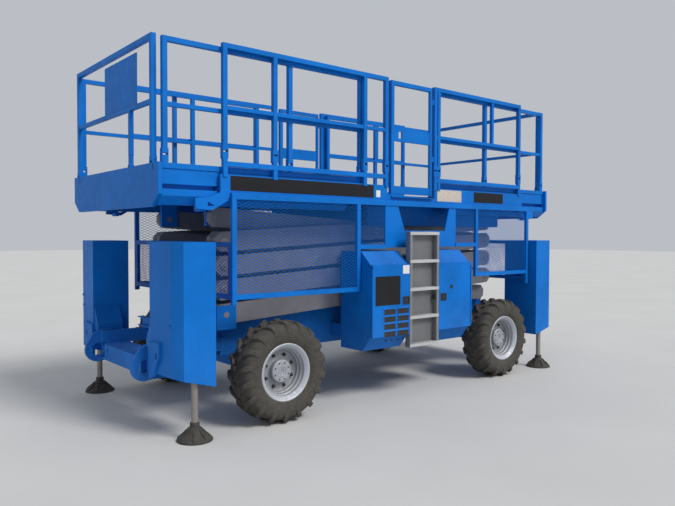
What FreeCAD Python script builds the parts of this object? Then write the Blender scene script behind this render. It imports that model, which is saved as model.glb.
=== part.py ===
"""Rough-terrain scissor lift, stowed, on its stabilisers.

Millimetres, +Z up. The origin is on the ground at the machine's centre, +X along its
length towards the fixed axle, and the access ladder is on the -Y side, called near.
"""
import FreeCAD, Part
import os
import re

import Sketcher

FREE_WORDS = {"sin", "cos", "tan", "asin", "atan", "sqrt", "abs", "min", "max"}

# Driving dimensions: alias, value, meaning
SIZES = (
    ("arm_length", "3400", "scissor arms, pin to pin"),
    ("level_rise", "200", "pin to pin, one scissor level, stowed"),
    ("base_pin_height", "860", "lowest scissor pins"),
    ("pivot_x", "=arm_length / 2 + 20", "fixed scissor pins left of the middle"),
    ("arm_depth", "165", "scissor arm"),
    ("arm_nose", "=0.207 * arm_depth", "half the flat at an arm's chamfered end"),
    ("arm_thickness", "68", "scissor arm"),
    ("arm_gap", "16", "between inner and outer arms"),
    ("arm_plane", "612", "outer face of the outer arms from the centre plane"),
    ("pin_radius", "25", "scissor pins"),
    ("tube_radius", "40", "cross tubes of the scissor arms"),
    ("roller_radius", "40", "slide rollers"),
    ("roller_width", "66", "slide rollers"),
    ("channel_wall", "10", "slide channels"),
    ("channel_reach", "1900", "slide channels, inwards from the stowed rollers' fixed pins"),
    ("cylinder_radius", "45", "lift cylinder barrel"),
    ("cylinder_rod_radius", "24", "lift cylinder rod"),
    ("eye_half", "25", "half the width of a cylinder's eye"),
    ("cheek_inner", "28", "cheeks beside a rod's end, from the centre plane"),
    ("cheek_thickness", "18", "cheeks beside a rod's end"),
    ("mount_along", "952", "cylinder tube from the near end of its arm"),
    ("mount_offset", "110", "cylinder tube off the arm's middle line"),
    ("running_gap", "0.5", "radial clearance of pins and rollers"),
    ("seat_gap", "0.3", "clearance of a seated piece"),
    ("half_wheelbase", "=pivot_x - 300", "axle centre from the middle of the machine"),
    ("wheel_y", "950", "middle of a tyre from the centre plane"),
    ("tyre_radius", "415", "hub height, with the tread lugs"),
    ("tyre_width", "290", "across the tread"),
    ("lug_depth", "22", "tread bars"),
    ("lug_reach", "32", "half the length of a tread bar's top round the tyre"),
    ("shoulder_depth", "71", "tread bars, down the tyre's side"),
    ("rim_radius", "222", "bead seat of the wheel"),
    ("rim_width", "250", "across the rim flanges"),
    ("rim_wall", "12", "rim barrel and disc"),
    ("disc_inset", "105", "wheel disc behind the outer rim edge"),
    ("hub_radius", "100", "wheel hub"),
    ("kingpin_y", "740", "steering axis from the centre plane"),
    ("kingpin_radius", "42", "knuckle barrel"),
    ("kingpin_height", "220", "knuckle barrel"),
    ("spindle_radius", "52", "stub axle"),
    ("axle_depth", "110", "axle beam height"),
    ("axle_width", "120", "axle beam along the machine"),
    ("beam_inner_y", "335", "chassis beam, inner face"),
    ("beam_outer_y", "450", "chassis beam, outer face"),
    ("beam_bottom", "490", "chassis beam underside"),
    ("chassis_half_length", "=pivot_x + 90", "chassis beams"),
    ("shelf_gap", "12", "pivot shelf below the arms"),
    ("end_x", "=pivot_x + 650", "ends of the stabiliser covers"),
    ("end_beam_x", "=end_x - 20", "outer face of the end beam"),
    ("end_beam_length", "230", "end beam along the machine"),
    ("end_beam_bottom", "410", "end beam"),
    ("end_beam_top", "550", "end beam between the side rails"),
    ("side_rail_top", "655", "side rails of the end frame"),
    ("side_rail_y", "500", "side rails of the end frame, outer face"),
    ("tow_eye_z", "490", "tow and tie-down eyes"),
    ("tow_plate_radius", "108", "nose of a tow plate"),
    ("tow_eye_radius", "57", "hole of a tow plate"),
    ("tow_plate_thickness", "30", "tow plate"),
    ("eye_room", "10", "free space round a tow eye in the end beam"),
    ("eye_reach", "100", "free space beside a tow eye, towards the middle"),
    ("leg_x", "=end_x - 185", "stabiliser leg from the middle"),
    ("leg_y", "989", "stabiliser leg from the centre plane"),
    ("leg_radius", "25", "stabiliser rod"),
    ("leg_length", "860", "stabiliser rod above its foot"),
    ("guide_length", "740", "tube round a stabiliser rod"),
    ("pad_radius", "145", "stabiliser foot"),
    ("pad_height", "100", "stabiliser foot"),
    ("cover_inner_x", "=end_x - 330", "stabiliser cover"),
    ("cover_inner_y", "620", "stabiliser cover"),
    ("cover_outer_y", "1050", "stabiliser cover"),
    ("cover_bottom", "390", "stabiliser cover, lowest edge"),
    ("cover_top", "1460", "stabiliser cover"),
    ("cover_wall", "8", "stabiliser cover"),
    ("cover_rise", "86", "slant of the cover's lower edge"),
    ("shoe_top", "874", "sloped foot of a cover towards the end beam"),
    ("module_face_y", "1100", "front of the side modules"),
    ("module_back_y", "660", "back of the side modules"),
    ("module_bottom", "470", "side modules"),
    ("module_sill", "=module_bottom + 130", "lower edge of a module door"),
    ("module_eaves", "=module_sill + 650", "upper edge of a module door"),
    ("module_roof", "=module_eaves + 120", "top of the side modules"),
    ("module_wall", "20", "side modules"),
    ("door_thickness", "29", "module doors"),
    ("door_gap", "5", "around a door"),
    ("hinge_radius", "9", "barrels of the door hinges"),
    ("hinge_length", "300", "each half of a door hinge"),
    ("module_left_end", "=490 + tyre_radius - half_wheelbase", "near left module"),
    ("ladder_left", "-45", "ladder bay"),
    ("ladder_right", "350", "ladder bay"),
    ("module_right_end", "=half_wheelbase - tyre_radius - 175", "near right module"),
    ("far_left_end", "=module_left_end", "far module"),
    ("far_right_end", "=module_right_end", "far module"),
    ("far_door_width", "=0.67 * (far_right_end - far_left_end)", "far module door"),
    ("ladder_bottom", "=module_bottom", "ladder"),
    ("ladder_depth", "60", "ladder stile"),
    ("stile_width", "30", "ladder stile"),
    ("rung_height", "28", "ladder rungs"),
    ("rung_pitch", "262", "ladder rungs"),
    ("rung_count", "5", "ladder rungs"),
    ("floor_top", "=base_pin_height + 4 * level_rise + 220", "platform floor"),
    ("floor_thickness", "24", "platform floor"),
    ("platform_half_length", "=pivot_x + 210", "main platform"),
    ("rib_half", "30", "half the width of a floor rib"),
    ("side_inner_y", "900", "platform side beam, inner face"),
    ("side_outer_y", "925", "platform side beam, outer face"),
    ("side_bottom", "=floor_top - 80", "platform side beam"),
    ("side_top", "=floor_top + 100", "platform side beam"),
    ("lip_reach", "25", "entry lip beyond the side beam"),
    ("rail_y", "915", "main guard rail from the centre plane"),
    ("rail_half", "19", "half the width of a guard rail tube"),
    ("mid_rail_half", "16", "half the width of a mid rail tube"),
    ("toe_half", "20", "half the width of a toe rail"),
    ("hinge_rise", "300", "fold of the main side rails above the floor"),
    ("mid_rise", "310", "mid rail above the fold"),
    ("top_rise", "471", "top rail above the mid rail"),
    ("rail_hinge", "=floor_top + hinge_rise", "fold of the main side rails"),
    ("rail_middle", "=rail_hinge + mid_rise", "middle of the mid rail"),
    ("rail_top", "=rail_middle + top_rise", "middle of the top rail"),
    ("toe_height", "=rail_hinge - 120", "middle of the toe rail"),
    ("extension_rail_y", "870", "extension side rail from the centre plane"),
    ("extension_hinge", "=rail_hinge - 55", "fold of the extension side rails"),
    ("extension_rail_middle", "=rail_middle - 24", "middle of its mid rail"),
    ("extension_rail_top", "=rail_top - 25", "middle of its top rail"),
    ("end_hinge", "=rail_hinge - 110", "fold of the end rails"),
    ("end_rail_half_width", "800", "end rail posts"),
    ("hinge_drop", "30", "top of a hinge fork's base below its pin"),
    ("fork_wall", "6", "ears of a hinge fork"),
    ("fork_height", "50", "base of a hinge fork"),
    ("fold_pin_radius", "6", "pins that the rails fold on"),
    ("extension_end", "=platform_half_length + 500", "kick plate's outer face"),
    ("end_rail_x", "=extension_end - 15", "end rail from the middle"),
    ("kick_thickness", "30", "kick plate"),
    ("kick_bottom", "=side_bottom + 10", "kick plate at its ends"),
    ("kick_top", "=extension_hinge - 85", "kick plate"),
    ("kick_half_width", "920", "kick plate"),
    ("runner_height", "6", "runners under an extension floor"),
    ("extension_floor_thickness", "16", "extension floor"),
    ("extension_left_reach", "430", "inner end of the left extension"),
    ("extension_right_reach", "500", "inner end of the right extension"),
    ("slide_beam_bottom", "=side_bottom - 65", "extension slide beam"),
    ("slide_beam_top", "=side_bottom + 50", "extension slide beam"),
    ("slide_beam_inner_y", "800", "extension slide beam"),
    ("slide_beam_outer_y", "892", "extension slide beam"),
    ("deck_roller_radius", "22", "rollers that carry an extension"),
    ("placard_left", "-510", "blank placard on the left end rail"),
    ("placard_right", "155", "blank placard on the left end rail"),
    ("guard_thickness", "30", "mesh guard frame"),
    ("guide_wall", "14", "tube round a stabiliser rod"),
    ("lip_thickness", "8", "entry lip"),
    ("guard_left", "=-pivot_x - 125", "mesh guard, outer end"),
    ("guard_right", "=platform_half_length + 90", "mesh guard, outer end"),
    ("guard_bottom", "=side_bottom - 790", "mesh guard, lower bar on the left"),
    ("guard_right_bottom", "=side_bottom - 715", "mesh guard, lower bar on the right"),
    ("guard_plate_bottom", "=side_bottom - 400", "mesh guard over the side modules"),
    ("guard_end_top", "=side_bottom - 340", "mesh guard at the ends"),
    ("guard_bar", "40", "mesh guard bars"),
    ("mesh_thickness", "4", "mesh strands"),
    ("mesh_strand", "14", "mesh strands in the plane"),
    ("gate_left", "-135", "entry gate"),
    ("gate_right", "430", "entry gate"),
)

doc = FreeCAD.newDocument("scissor_lift")
sheet = doc.addObject("Spreadsheet::Sheet", "Sizes")
for row, (alias, value, meaning) in enumerate(SIZES, 1):
    sheet.set("A%d" % row, alias)
    sheet.set("B%d" % row, value)
    sheet.set("C%d" % row, meaning)
    sheet.setAlias("B%d" % row, alias)
doc.recompute()

nodes = []


def link(text):
    """An expression with each size's name pointed at the sheet."""
    def point(match):
        word = match.group(0)
        return word if word in FREE_WORDS else "Sizes." + word
    return re.sub(r"[a-z][a-z_]+", point, text)


def value_of(text):
    """The present value of an expression."""
    number = sheet.evalExpression(link(text))
    return float(getattr(number, "Value", number))


def bind(item, **places):
    """Bind properties; a double underscore stands for the dot of a nested one."""
    for name, text in places.items():
        item.setExpression(name.replace("__", "."), link(text))


def move(item, x="0", y="0", z="0"):
    bind(item, Placement__Base__x=x, Placement__Base__y=y, Placement__Base__z=z)
    return item


def turn(item, axis, text):
    item.Placement = FreeCAD.Placement(FreeCAD.Vector(), FreeCAD.Rotation(FreeCAD.Vector(*axis), 1))
    bind(item, Placement__Rotation__Angle=text)
    return item


def box(label, x, y, z):
    """A box from three (low, high) pairs of expressions."""
    item = doc.addObject("Part::Box", label)
    spans = {"Length": x, "Width": y, "Height": z}
    for side, (low, high) in spans.items():
        item.setExpression(side, link("(%s) - (%s)" % (high, low)))
    return move(item, x[0], y[0], z[0])


def rod(label, axis, centre, start, length, radius):
    """A cylinder along x, y or z from start, centred on two expressions."""
    item = doc.addObject("Part::Cylinder", label)
    bind(item, Radius=radius, Height=length)
    if axis == "x":
        item.Placement.Rotation = FreeCAD.Rotation(FreeCAD.Vector(0, 1, 0), 90)
        return move(item, start, centre[0], centre[1])
    if axis == "y":
        item.Placement.Rotation = FreeCAD.Rotation(FreeCAD.Vector(1, 0, 0), -90)
        return move(item, centre[0], start, centre[1])
    return move(item, centre[0], centre[1], start)


def square(label, axis, centre, start, length, half):
    """A square bar along x, y or z, placed like rod."""
    spans = [("%s - %s" % (place, half), "%s + %s" % (place, half)) for place in centre]
    spans.insert("xyz".index(axis), (start, "(%s) + (%s)" % (start, length)))
    return box(label, *spans)


def fuse(label, parts):
    item = doc.addObject("Part::MultiFuse", label)
    item.Shapes = parts
    item.Refine = True
    return item


def cut(label, base, tool):
    item = doc.addObject("Part::Cut", label)
    item.Base = base
    item.Tool = tool
    return item


def gather(label, parts):
    """Like pieces that share a node and don't touch."""
    item = doc.addObject("Part::Compound", label)
    item.Links = parts
    return item


def mirror(label, source, normal):
    item = doc.addObject("Part::Mirroring", label)
    item.Source = source
    item.Base = FreeCAD.Vector()
    item.Normal = FreeCAD.Vector(*normal)
    return item


def both_sides(label, source, normal=(0, 1, 0)):
    """A piece and its mirror image."""
    return [source, mirror(label, source, normal)]


def plane_of(body, role):
    return next(item for item in body.Origin.OriginFeatures if item.Role == role)


def outline(body, role, corners):
    """A sketch of straight sides through corners given as expressions."""
    sketch = body.newObject("Sketcher::SketchObject", body.Name + "_outline")
    sketch.AttachmentSupport = [(plane_of(body, role), "")]
    sketch.MapMode = "FlatFace"
    spots = [FreeCAD.Vector(value_of(a), value_of(b), 0) for a, b in corners]
    count = len(spots)
    for side in range(count):
        sketch.addGeometry(Part.LineSegment(spots[side], spots[(side + 1) % count]))
    for side in range(count):
        sketch.addConstraint(Sketcher.Constraint("Coincident", side, 2, (side + 1) % count, 1))
    for side, pair in enumerate(corners):
        for kind, text, spot in zip(("DistanceX", "DistanceY"), pair, spots[side]):
            index = sketch.addConstraint(Sketcher.Constraint(kind, -1, 1, side, 1, spot))
            sketch.setExpression("Constraints[%d]" % index, link(text))
    return sketch


def plate(label, role, corners, start, thickness):
    """A padded outline: XZ_Plane pads along +Y, YZ_Plane along +X, XY_Plane along +Z."""
    body = doc.addObject("PartDesign::Body", label)
    pad = body.newObject("PartDesign::Pad", label + "_pad")
    pad.Profile = outline(body, role, corners)
    pad.Reversed = role == "XZ_Plane"
    bind(pad, Length=thickness)
    shift = {"XZ_Plane": "y", "YZ_Plane": "x", "XY_Plane": "z"}[role]
    return move(body, **{shift: start})


def turned(label, corners):
    """An outline of (radius, along) corners revolved about the Y axis."""
    body = doc.addObject("PartDesign::Body", label)
    lathe = body.newObject("PartDesign::Revolution", label + "_turn")
    lathe.Profile = outline(body, "XY_Plane", corners)
    lathe.ReferenceAxis = (lathe.Profile[0], ["V_Axis"])
    lathe.Angle = 360
    return body


def node(item, label):
    """Hand in an object under the name of its file."""
    item.Label = label
    nodes.append(item)
    return item


# Derived places that several pieces share
ARM_ANGLE = "asin(level_rise / arm_length)"
ARM_RUN = "arm_length * cos(asin(level_rise / arm_length))"
OUTER_ARM = ("arm_plane - arm_thickness", "arm_plane")
INNER_ARM = ("arm_plane - 2 * arm_thickness - arm_gap", "arm_plane - arm_thickness - arm_gap")
TOP_PIN_HEIGHT = "base_pin_height + 4 * level_rise"
CHANNEL_FLOOR = "base_pin_height - roller_radius - running_gap"
CHANNEL_ROOF = "base_pin_height + roller_radius + running_gap"
TUBE_PLACES = (("-mount_along", 1), ("-arm_length + mount_along", -1))
LOWER_ROLLER = ("beam_outer_y - 6 - roller_width", "beam_outer_y - 6")
UPPER_ROLLER_INNER = "arm_plane + 10"
AXLE_TOP = "tyre_radius + axle_depth / 2"

# Section of a tyre's carcass: place along the axle, radius
TYRE_SIDES = 32
CARCASS = (
    ("-(tyre_width / 2 - 35)", "rim_radius + seat_gap"),
    ("-(tyre_width / 2 - 35)", "rim_radius + 12"),
    ("-(tyre_width / 2 - 6)", "rim_radius + 50"),
    ("-(tyre_width / 2 - 2)", "tyre_radius - lug_depth - 50"),
    ("-(tyre_width / 2 - 30)", "tyre_radius - lug_depth"),
    ("tyre_width / 2 - 30", "tyre_radius - lug_depth"),
    ("tyre_width / 2 - 2", "tyre_radius - lug_depth - 50"),
    ("tyre_width / 2 - 6", "rim_radius + 50"),
    ("tyre_width / 2 - 35", "rim_radius + 12"),
    ("tyre_width / 2 - 35", "rim_radius + seat_gap"),
)
# A tread bar from the shoulder past the middle: round the tyre, along the axle
LUG_OUTLINE = (
    ("-lug_reach", "tyre_width / 2 - 6"), ("lug_reach / 4", "tyre_width / 2 - 6"),
    ("lug_reach", "-10"), ("0", "-10"),
)
HINGE_SPLIT = "module_sill + 20 + hinge_length"

# Module doors: name, left edge, right edge, outer face, hinged edge, side of the machine
DOORS = (
    ("near_left", "module_left_end", "ladder_left - door_gap", "-module_face_y", "module_left_end", -1),
    ("near_right", "ladder_right + door_gap", "module_right_end", "-module_face_y", "module_right_end", -1),
    ("far", "far_right_end - far_door_width", "far_right_end", "module_face_y", "far_right_end", 1),
)

# Main side rails: section, full posts, half posts
MAIN_POSTS = (
    ("left", ("40 - platform_half_length", "500 - platform_half_length", "gate_left - 320",
              "gate_left - 55"), ()),
    ("right", ("gate_right + 48", "gate_right + 97", "platform_half_length - 65"),
     ("platform_half_length - 545",)),
)

# Tow plate in (x, z), and the middle of its eye
TOW_PLATE = (
    ("end_x - 140", "tow_eye_z - 90"), ("end_x + 3", "tow_eye_z - tow_plate_radius"),
    ("end_x + 96", "tow_eye_z + 54"), ("end_x + 40", "tow_eye_z + 150"),
    ("end_x - 52", "tow_eye_z + 182"), ("end_x - 140", "tow_eye_z + 182"),
)
TOW_EYE = ("end_x + 3", "tow_eye_z")

# Bracket under a corner of the platform, in (x, z), with its three-sided window
BRACKET = (
    ("platform_half_length - 70", "side_bottom + 40"), ("platform_half_length", "side_bottom + 40"),
    ("platform_half_length + 90", "side_bottom"), ("platform_half_length + 210", "side_bottom - 10"),
    ("platform_half_length + 210", "side_bottom - 90"), ("platform_half_length + 70", "side_bottom - 100"),
    ("platform_half_length - 70", "side_bottom - 20"),
)
BRACKET_WINDOW = (
    ("platform_half_length + 50", "side_bottom - 65"), ("platform_half_length + 110", "side_bottom - 68"),
    ("platform_half_length + 105", "side_bottom - 35"),
)

# Frame of a side guard: name, span along the machine, span upwards
GUARD_TOP = ("side_bottom - 10", "side_bottom + guard_bar")
GUARD_INNER = ("module_left_end - 55", "module_left_end - 15")
GUARD_RIGHT_INNER = ("module_right_end + 250", "module_right_end + 290")
GUARD_FRAME = (
    ("top", ("guard_left", "guard_right"), GUARD_TOP),
    ("left_post", ("guard_left", "guard_left + guard_bar"), ("guard_bottom - 40", GUARD_TOP[0])),
    ("left_low", ("guard_left + guard_bar", GUARD_INNER[0]), ("guard_bottom", "guard_bottom + guard_bar")),
    ("left_inner", GUARD_INNER, ("guard_bottom", GUARD_TOP[0])),
    ("right_inner", GUARD_RIGHT_INNER, ("guard_right_bottom", GUARD_TOP[0])),
    ("right_low", (GUARD_RIGHT_INNER[1], "guard_right - guard_bar"),
     ("guard_right_bottom", "guard_right_bottom + guard_bar")),
    ("right_post", ("guard_right - guard_bar", "guard_right"), ("guard_bottom - 40", GUARD_TOP[0])),
)
# Lower edges of the two small windows beside the plate
GUARD_SILLS = (
    ("sill_left", (GUARD_INNER[1] + " + seat_gap", "gate_left - 85"),
     ("guard_plate_bottom - 10", "guard_plate_bottom + 30")),
    ("sill_right", ("gate_right + 336", GUARD_RIGHT_INNER[0] + " - seat_gap"),
     ("guard_plate_bottom", "guard_plate_bottom + guard_bar")),
)
# The plate over the side modules, cut away under the gate
GUARD_SEAT = "side_bottom - 10 - seat_gap"
GUARD_PLATE = (
    ("gate_left - 85", "guard_plate_bottom"), ("gate_right + 336", "guard_plate_bottom"),
    ("gate_right + 336", GUARD_SEAT), ("gate_right + 237", GUARD_SEAT),
    ("gate_right + 170", "guard_plate_bottom + 160"), ("gate_left + 167", "guard_plate_bottom + 160"),
    ("gate_left + 80", GUARD_SEAT), ("gate_left - 85", GUARD_SEAT),
)
# Mesh of a side guard: name, span along, span upwards, columns, rows
GUARD_WINDOWS = (
    ("left", ("guard_left + guard_bar", GUARD_INNER[0]), ("guard_bottom + guard_bar", GUARD_TOP[0]), 8, 5),
    ("window_left", (GUARD_INNER[1], "gate_left - 85"), ("guard_plate_bottom + 30", GUARD_TOP[0]), 2, 3),
    ("window_right", ("gate_right + 336", GUARD_RIGHT_INNER[0]),
     ("guard_plate_bottom + guard_bar", GUARD_TOP[0]), 2, 3),
    ("right", (GUARD_RIGHT_INNER[1], "guard_right - guard_bar"),
     ("guard_right_bottom + guard_bar", GUARD_TOP[0]), 6, 5),
)


def common(label, shapes):
    item = doc.addObject("Part::MultiCommon", label)
    item.Shapes = shapes
    return item


def make_tyre():
    """Flat-sided slices of carcass, each with a chunky bar from one shoulder past the middle."""
    spread = "tyre_radius * tan(180 / %d)" % TYRE_SIDES
    sector = plate("tyre_sector", "XZ_Plane", (
        ("0", "0"), (spread, "tyre_radius"), ("-" + spread, "tyre_radius"),
    ), "-tyre_width", "2 * tyre_width")
    section = plate("tyre_section", "YZ_Plane", CARCASS, "-tyre_radius / 4", "tyre_radius / 2")
    slice_of = common("tyre_slice", [sector, section])
    top = "sqrt(tyre_radius^2 - lug_reach^2)"
    slices = []
    for hand in (1, -1):
        corners = [(x, "%d * (%s)" % (hand, along)) for x, along in LUG_OUTLINE]
        lug = plate("lug_%d" % hand, "XY_Plane", corners, "tyre_radius - shoulder_depth",
                    "%s - tyre_radius + shoulder_depth" % top)
        cell = fuse("tyre_cell_%d" % hand, [slice_of, lug])
        for step in range(0 if hand > 0 else 1, TYRE_SIDES, 2):
            copy = gather("tyre_cell_%d_%d" % (hand, step), [cell])
            copy.Placement = FreeCAD.Placement(
                FreeCAD.Vector(), FreeCAD.Rotation(FreeCAD.Vector(0, 1, 0), step * 360 / TYRE_SIDES))
            slices.append(copy)
    return fuse("tyre_whole", slices)


def make_wheels():
    """Four wheels; the outer side of each faces away from the machine."""
    edge = "rim_width / 2"
    disc = "-rim_width / 2 + disc_inset"
    rim_corners = (
        ("0", "%s - 25" % disc),
        ("hub_radius", "%s - 25" % disc),
        ("hub_radius", disc),
        ("rim_radius - 34", disc),
        ("rim_radius - rim_wall", "-(%s)" % edge),
        ("rim_radius + 14", "-(%s)" % edge),
        ("rim_radius", "-(%s) + 14" % edge),
        ("rim_radius", edge),
        ("rim_radius - rim_wall", edge),
        ("rim_radius - rim_wall", "%s + rim_wall" % disc),
        ("0", "%s + rim_wall" % disc),
    )
    tyre = make_tyre()
    rim = turned("rim_whole", rim_corners)
    for end, x in (("left", "-half_wheelbase"), ("right", "half_wheelbase")):
        for side, y, angle in (("near", "-wheel_y", 0), ("far", "wheel_y", 180)):
            for kind, whole in (("tyre", tyre), ("rim", rim)):
                label = "%s_%s_%s" % (kind, end, side)
                piece = gather(label, [whole])
                piece.Placement.Rotation = FreeCAD.Rotation(FreeCAD.Vector(0, 0, 1), angle)
                node(move(piece, x, y, "tyre_radius"), label)


def make_axles():
    """The steered axle with its two knuckles, and the fixed axle."""
    beam_y = "kingpin_y - kingpin_radius - 40"
    x_span = ("-half_wheelbase - axle_width / 2", "-half_wheelbase + axle_width / 2")
    low, high = "tyre_radius - axle_depth / 2", AXLE_TOP
    beam = box("front_beam", x_span, ("-(%s)" % beam_y, beam_y), (low, high))
    saddle = box("front_saddle", x_span, ("-beam_inner_y", "beam_inner_y"), (high, "beam_bottom"))
    fork_top = "tyre_radius + kingpin_height / 2 + running_gap + 24"
    fork_low = "tyre_radius - kingpin_height / 2 - running_gap - 24"
    fork_body = box("fork_body", x_span, (beam_y, "kingpin_y + kingpin_radius"), (fork_low, fork_top))
    fork_gap = box(
        "fork_gap", ("-half_wheelbase - axle_width", "-half_wheelbase + axle_width"),
        ("kingpin_y - kingpin_radius - 12", "kingpin_y + 100"),
        ("tyre_radius - kingpin_height / 2 - running_gap",
         "tyre_radius + kingpin_height / 2 + running_gap"))
    fork = cut("fork_far", fork_body, fork_gap)
    node(fuse("axle_front", [beam, saddle] + both_sides("fork_near", fork)), "axle_front")

    spindle_end = "wheel_y + rim_width / 2 - disc_inset - rim_wall - seat_gap"
    right_span = ("half_wheelbase - axle_width / 2", "half_wheelbase + axle_width / 2")
    rear_beam = box("rear_beam", right_span, ("-wheel_y + tyre_width / 2 + 5",
                                              "wheel_y - tyre_width / 2 - 5"), (low, high))
    rear_saddle = box("rear_saddle", right_span, ("-beam_inner_y", "beam_inner_y"),
                      (high, "beam_bottom"))
    shaft = rod("rear_shaft", "y", ("half_wheelbase", "tyre_radius"), "-(%s)" % spindle_end,
                "2 * (%s)" % spindle_end, "spindle_radius")
    node(fuse("axle_rear", [rear_beam, rear_saddle, shaft]), "axle_rear")

    barrel = rod("kingpin_barrel", "z", ("-half_wheelbase", "kingpin_y"),
                 "tyre_radius - kingpin_height / 2", "kingpin_height", "kingpin_radius")
    spindle = rod("front_spindle", "y", ("-half_wheelbase", "tyre_radius"), "kingpin_y",
                  "%s - kingpin_y" % spindle_end, "spindle_radius")
    far = fuse("knuckle_far", [barrel, spindle])
    node(far, "knuckle_far")
    node(mirror("knuckle_near", far, (0, 1, 0)), "knuckle_near")


def make_chassis():
    """Two long beams with the lower slide channels on top, and cross members."""
    beam = box("long_beam", ("-chassis_half_length", "chassis_half_length"),
               ("beam_inner_y", "beam_outer_y"), ("beam_bottom", CHANNEL_FLOOR))
    slide_x = ("%s - pivot_x - channel_reach" % ARM_RUN, "%s - pivot_x + 110" % ARM_RUN)
    web = box("slide_web", slide_x, ("beam_inner_y", "%s - 6" % LOWER_ROLLER[0]),
              (CHANNEL_FLOOR, "%s + channel_wall" % CHANNEL_ROOF))
    flange = box("slide_flange", slide_x, ("beam_inner_y", "beam_outer_y"),
                 (CHANNEL_ROOF, "%s + channel_wall" % CHANNEL_ROOF))
    under_arm = "base_pin_height - arm_depth / 2 - shelf_gap"
    bracket_x = ("-pivot_x - 90", "-pivot_x + 90")
    shelf = box("pivot_shelf", bracket_x, ("beam_inner_y", "arm_plane + 35"),
                ("%s - 28" % under_arm, under_arm))
    ear = box("pivot_ear", bracket_x, ("arm_plane + 10", "arm_plane + 35"),
              (under_arm, "base_pin_height + 75"))
    module_bars = [
        box("module_bar_%d" % index, (x, "%s + 80" % x), ("beam_outer_y", "module_back_y"),
            ("module_bottom + 90", "module_bottom + 210"))
        for index, x in enumerate(("module_left_end + 40", "ladder_left - 140",
                                   "ladder_right + 40", "module_right_end - 140"))]
    far = fuse("long_side", [beam, web, flange, shelf, ear] + module_bars)
    pin_hole = rod("pivot_holes", "y", ("-pivot_x", "base_pin_height"), "-arm_plane - 100",
                   "2 * arm_plane + 200", "pin_radius")
    cross = [
        box("cross_%d" % index, ("%s - 70" % x, "%s + 70" % x), ("-beam_inner_y", "beam_inner_y"),
            ("beam_bottom", "beam_bottom + 150"))
        for index, x in enumerate(("-half_wheelbase", "0", "half_wheelbase"))]
    frame = fuse("frame_all", both_sides("long_side_near", far) + cross)
    node(cut("chassis_frame", frame, pin_hole), "chassis_frame")


def make_end_frames():
    """A low beam across each end, its side rails, and the tow plates with their eyes."""
    beam_x = ("end_beam_x - end_beam_length", "end_beam_x")
    beam = box("end_beam", beam_x, ("-cover_inner_y", "cover_inner_y"),
               ("end_beam_bottom", "end_beam_top"))
    block = box("end_block", beam_x, ("beam_outer_y", "cover_inner_y"),
                ("end_beam_bottom", "side_rail_top"))
    rail = box("side_rail", ("chassis_half_length - 150", "end_beam_x"),
               ("beam_outer_y", "side_rail_y"), ("end_beam_top - 10", "side_rail_top"))
    blade = plate("tow_blade", "XZ_Plane", TOW_PLATE, "side_rail_y", "tow_plate_thickness")
    nose = across("tow_nose", TOW_EYE[0], TOW_EYE[1],
                  ("side_rail_y", "side_rail_y + tow_plate_thickness"), "tow_plate_radius")
    eye = across("tow_eye", TOW_EYE[0], TOW_EYE[1],
                 ("side_rail_y - 5", "side_rail_y + tow_plate_thickness + 5"), "tow_eye_radius")
    tow = cut("tow_plate", fuse("tow_solid", [blade, nose]), eye)
    middle, height = TOW_EYE
    spread = "(tow_eye_radius + eye_room)"
    room = box("tow_room", ("%s - %s" % (middle, spread), "end_x"),
               ("side_rail_y - eye_reach", "cover_inner_y + 5"),
               ("%s - %s" % (height, spread), "%s + %s" % (height, spread)))
    rooms = fuse("tow_rooms", both_sides("tow_room_near", room))
    solid = fuse("end_solid", [beam] + both_sides("end_block_near", fuse("end_side", [block, rail])))
    right = fuse("end_frame_right", [cut("end_open", solid, rooms)] + both_sides("tow_plate_near", tow))
    node(gather("end_frames", [right, mirror("end_frame_left", right, (1, 0, 0))]), "end_frames")


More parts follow.
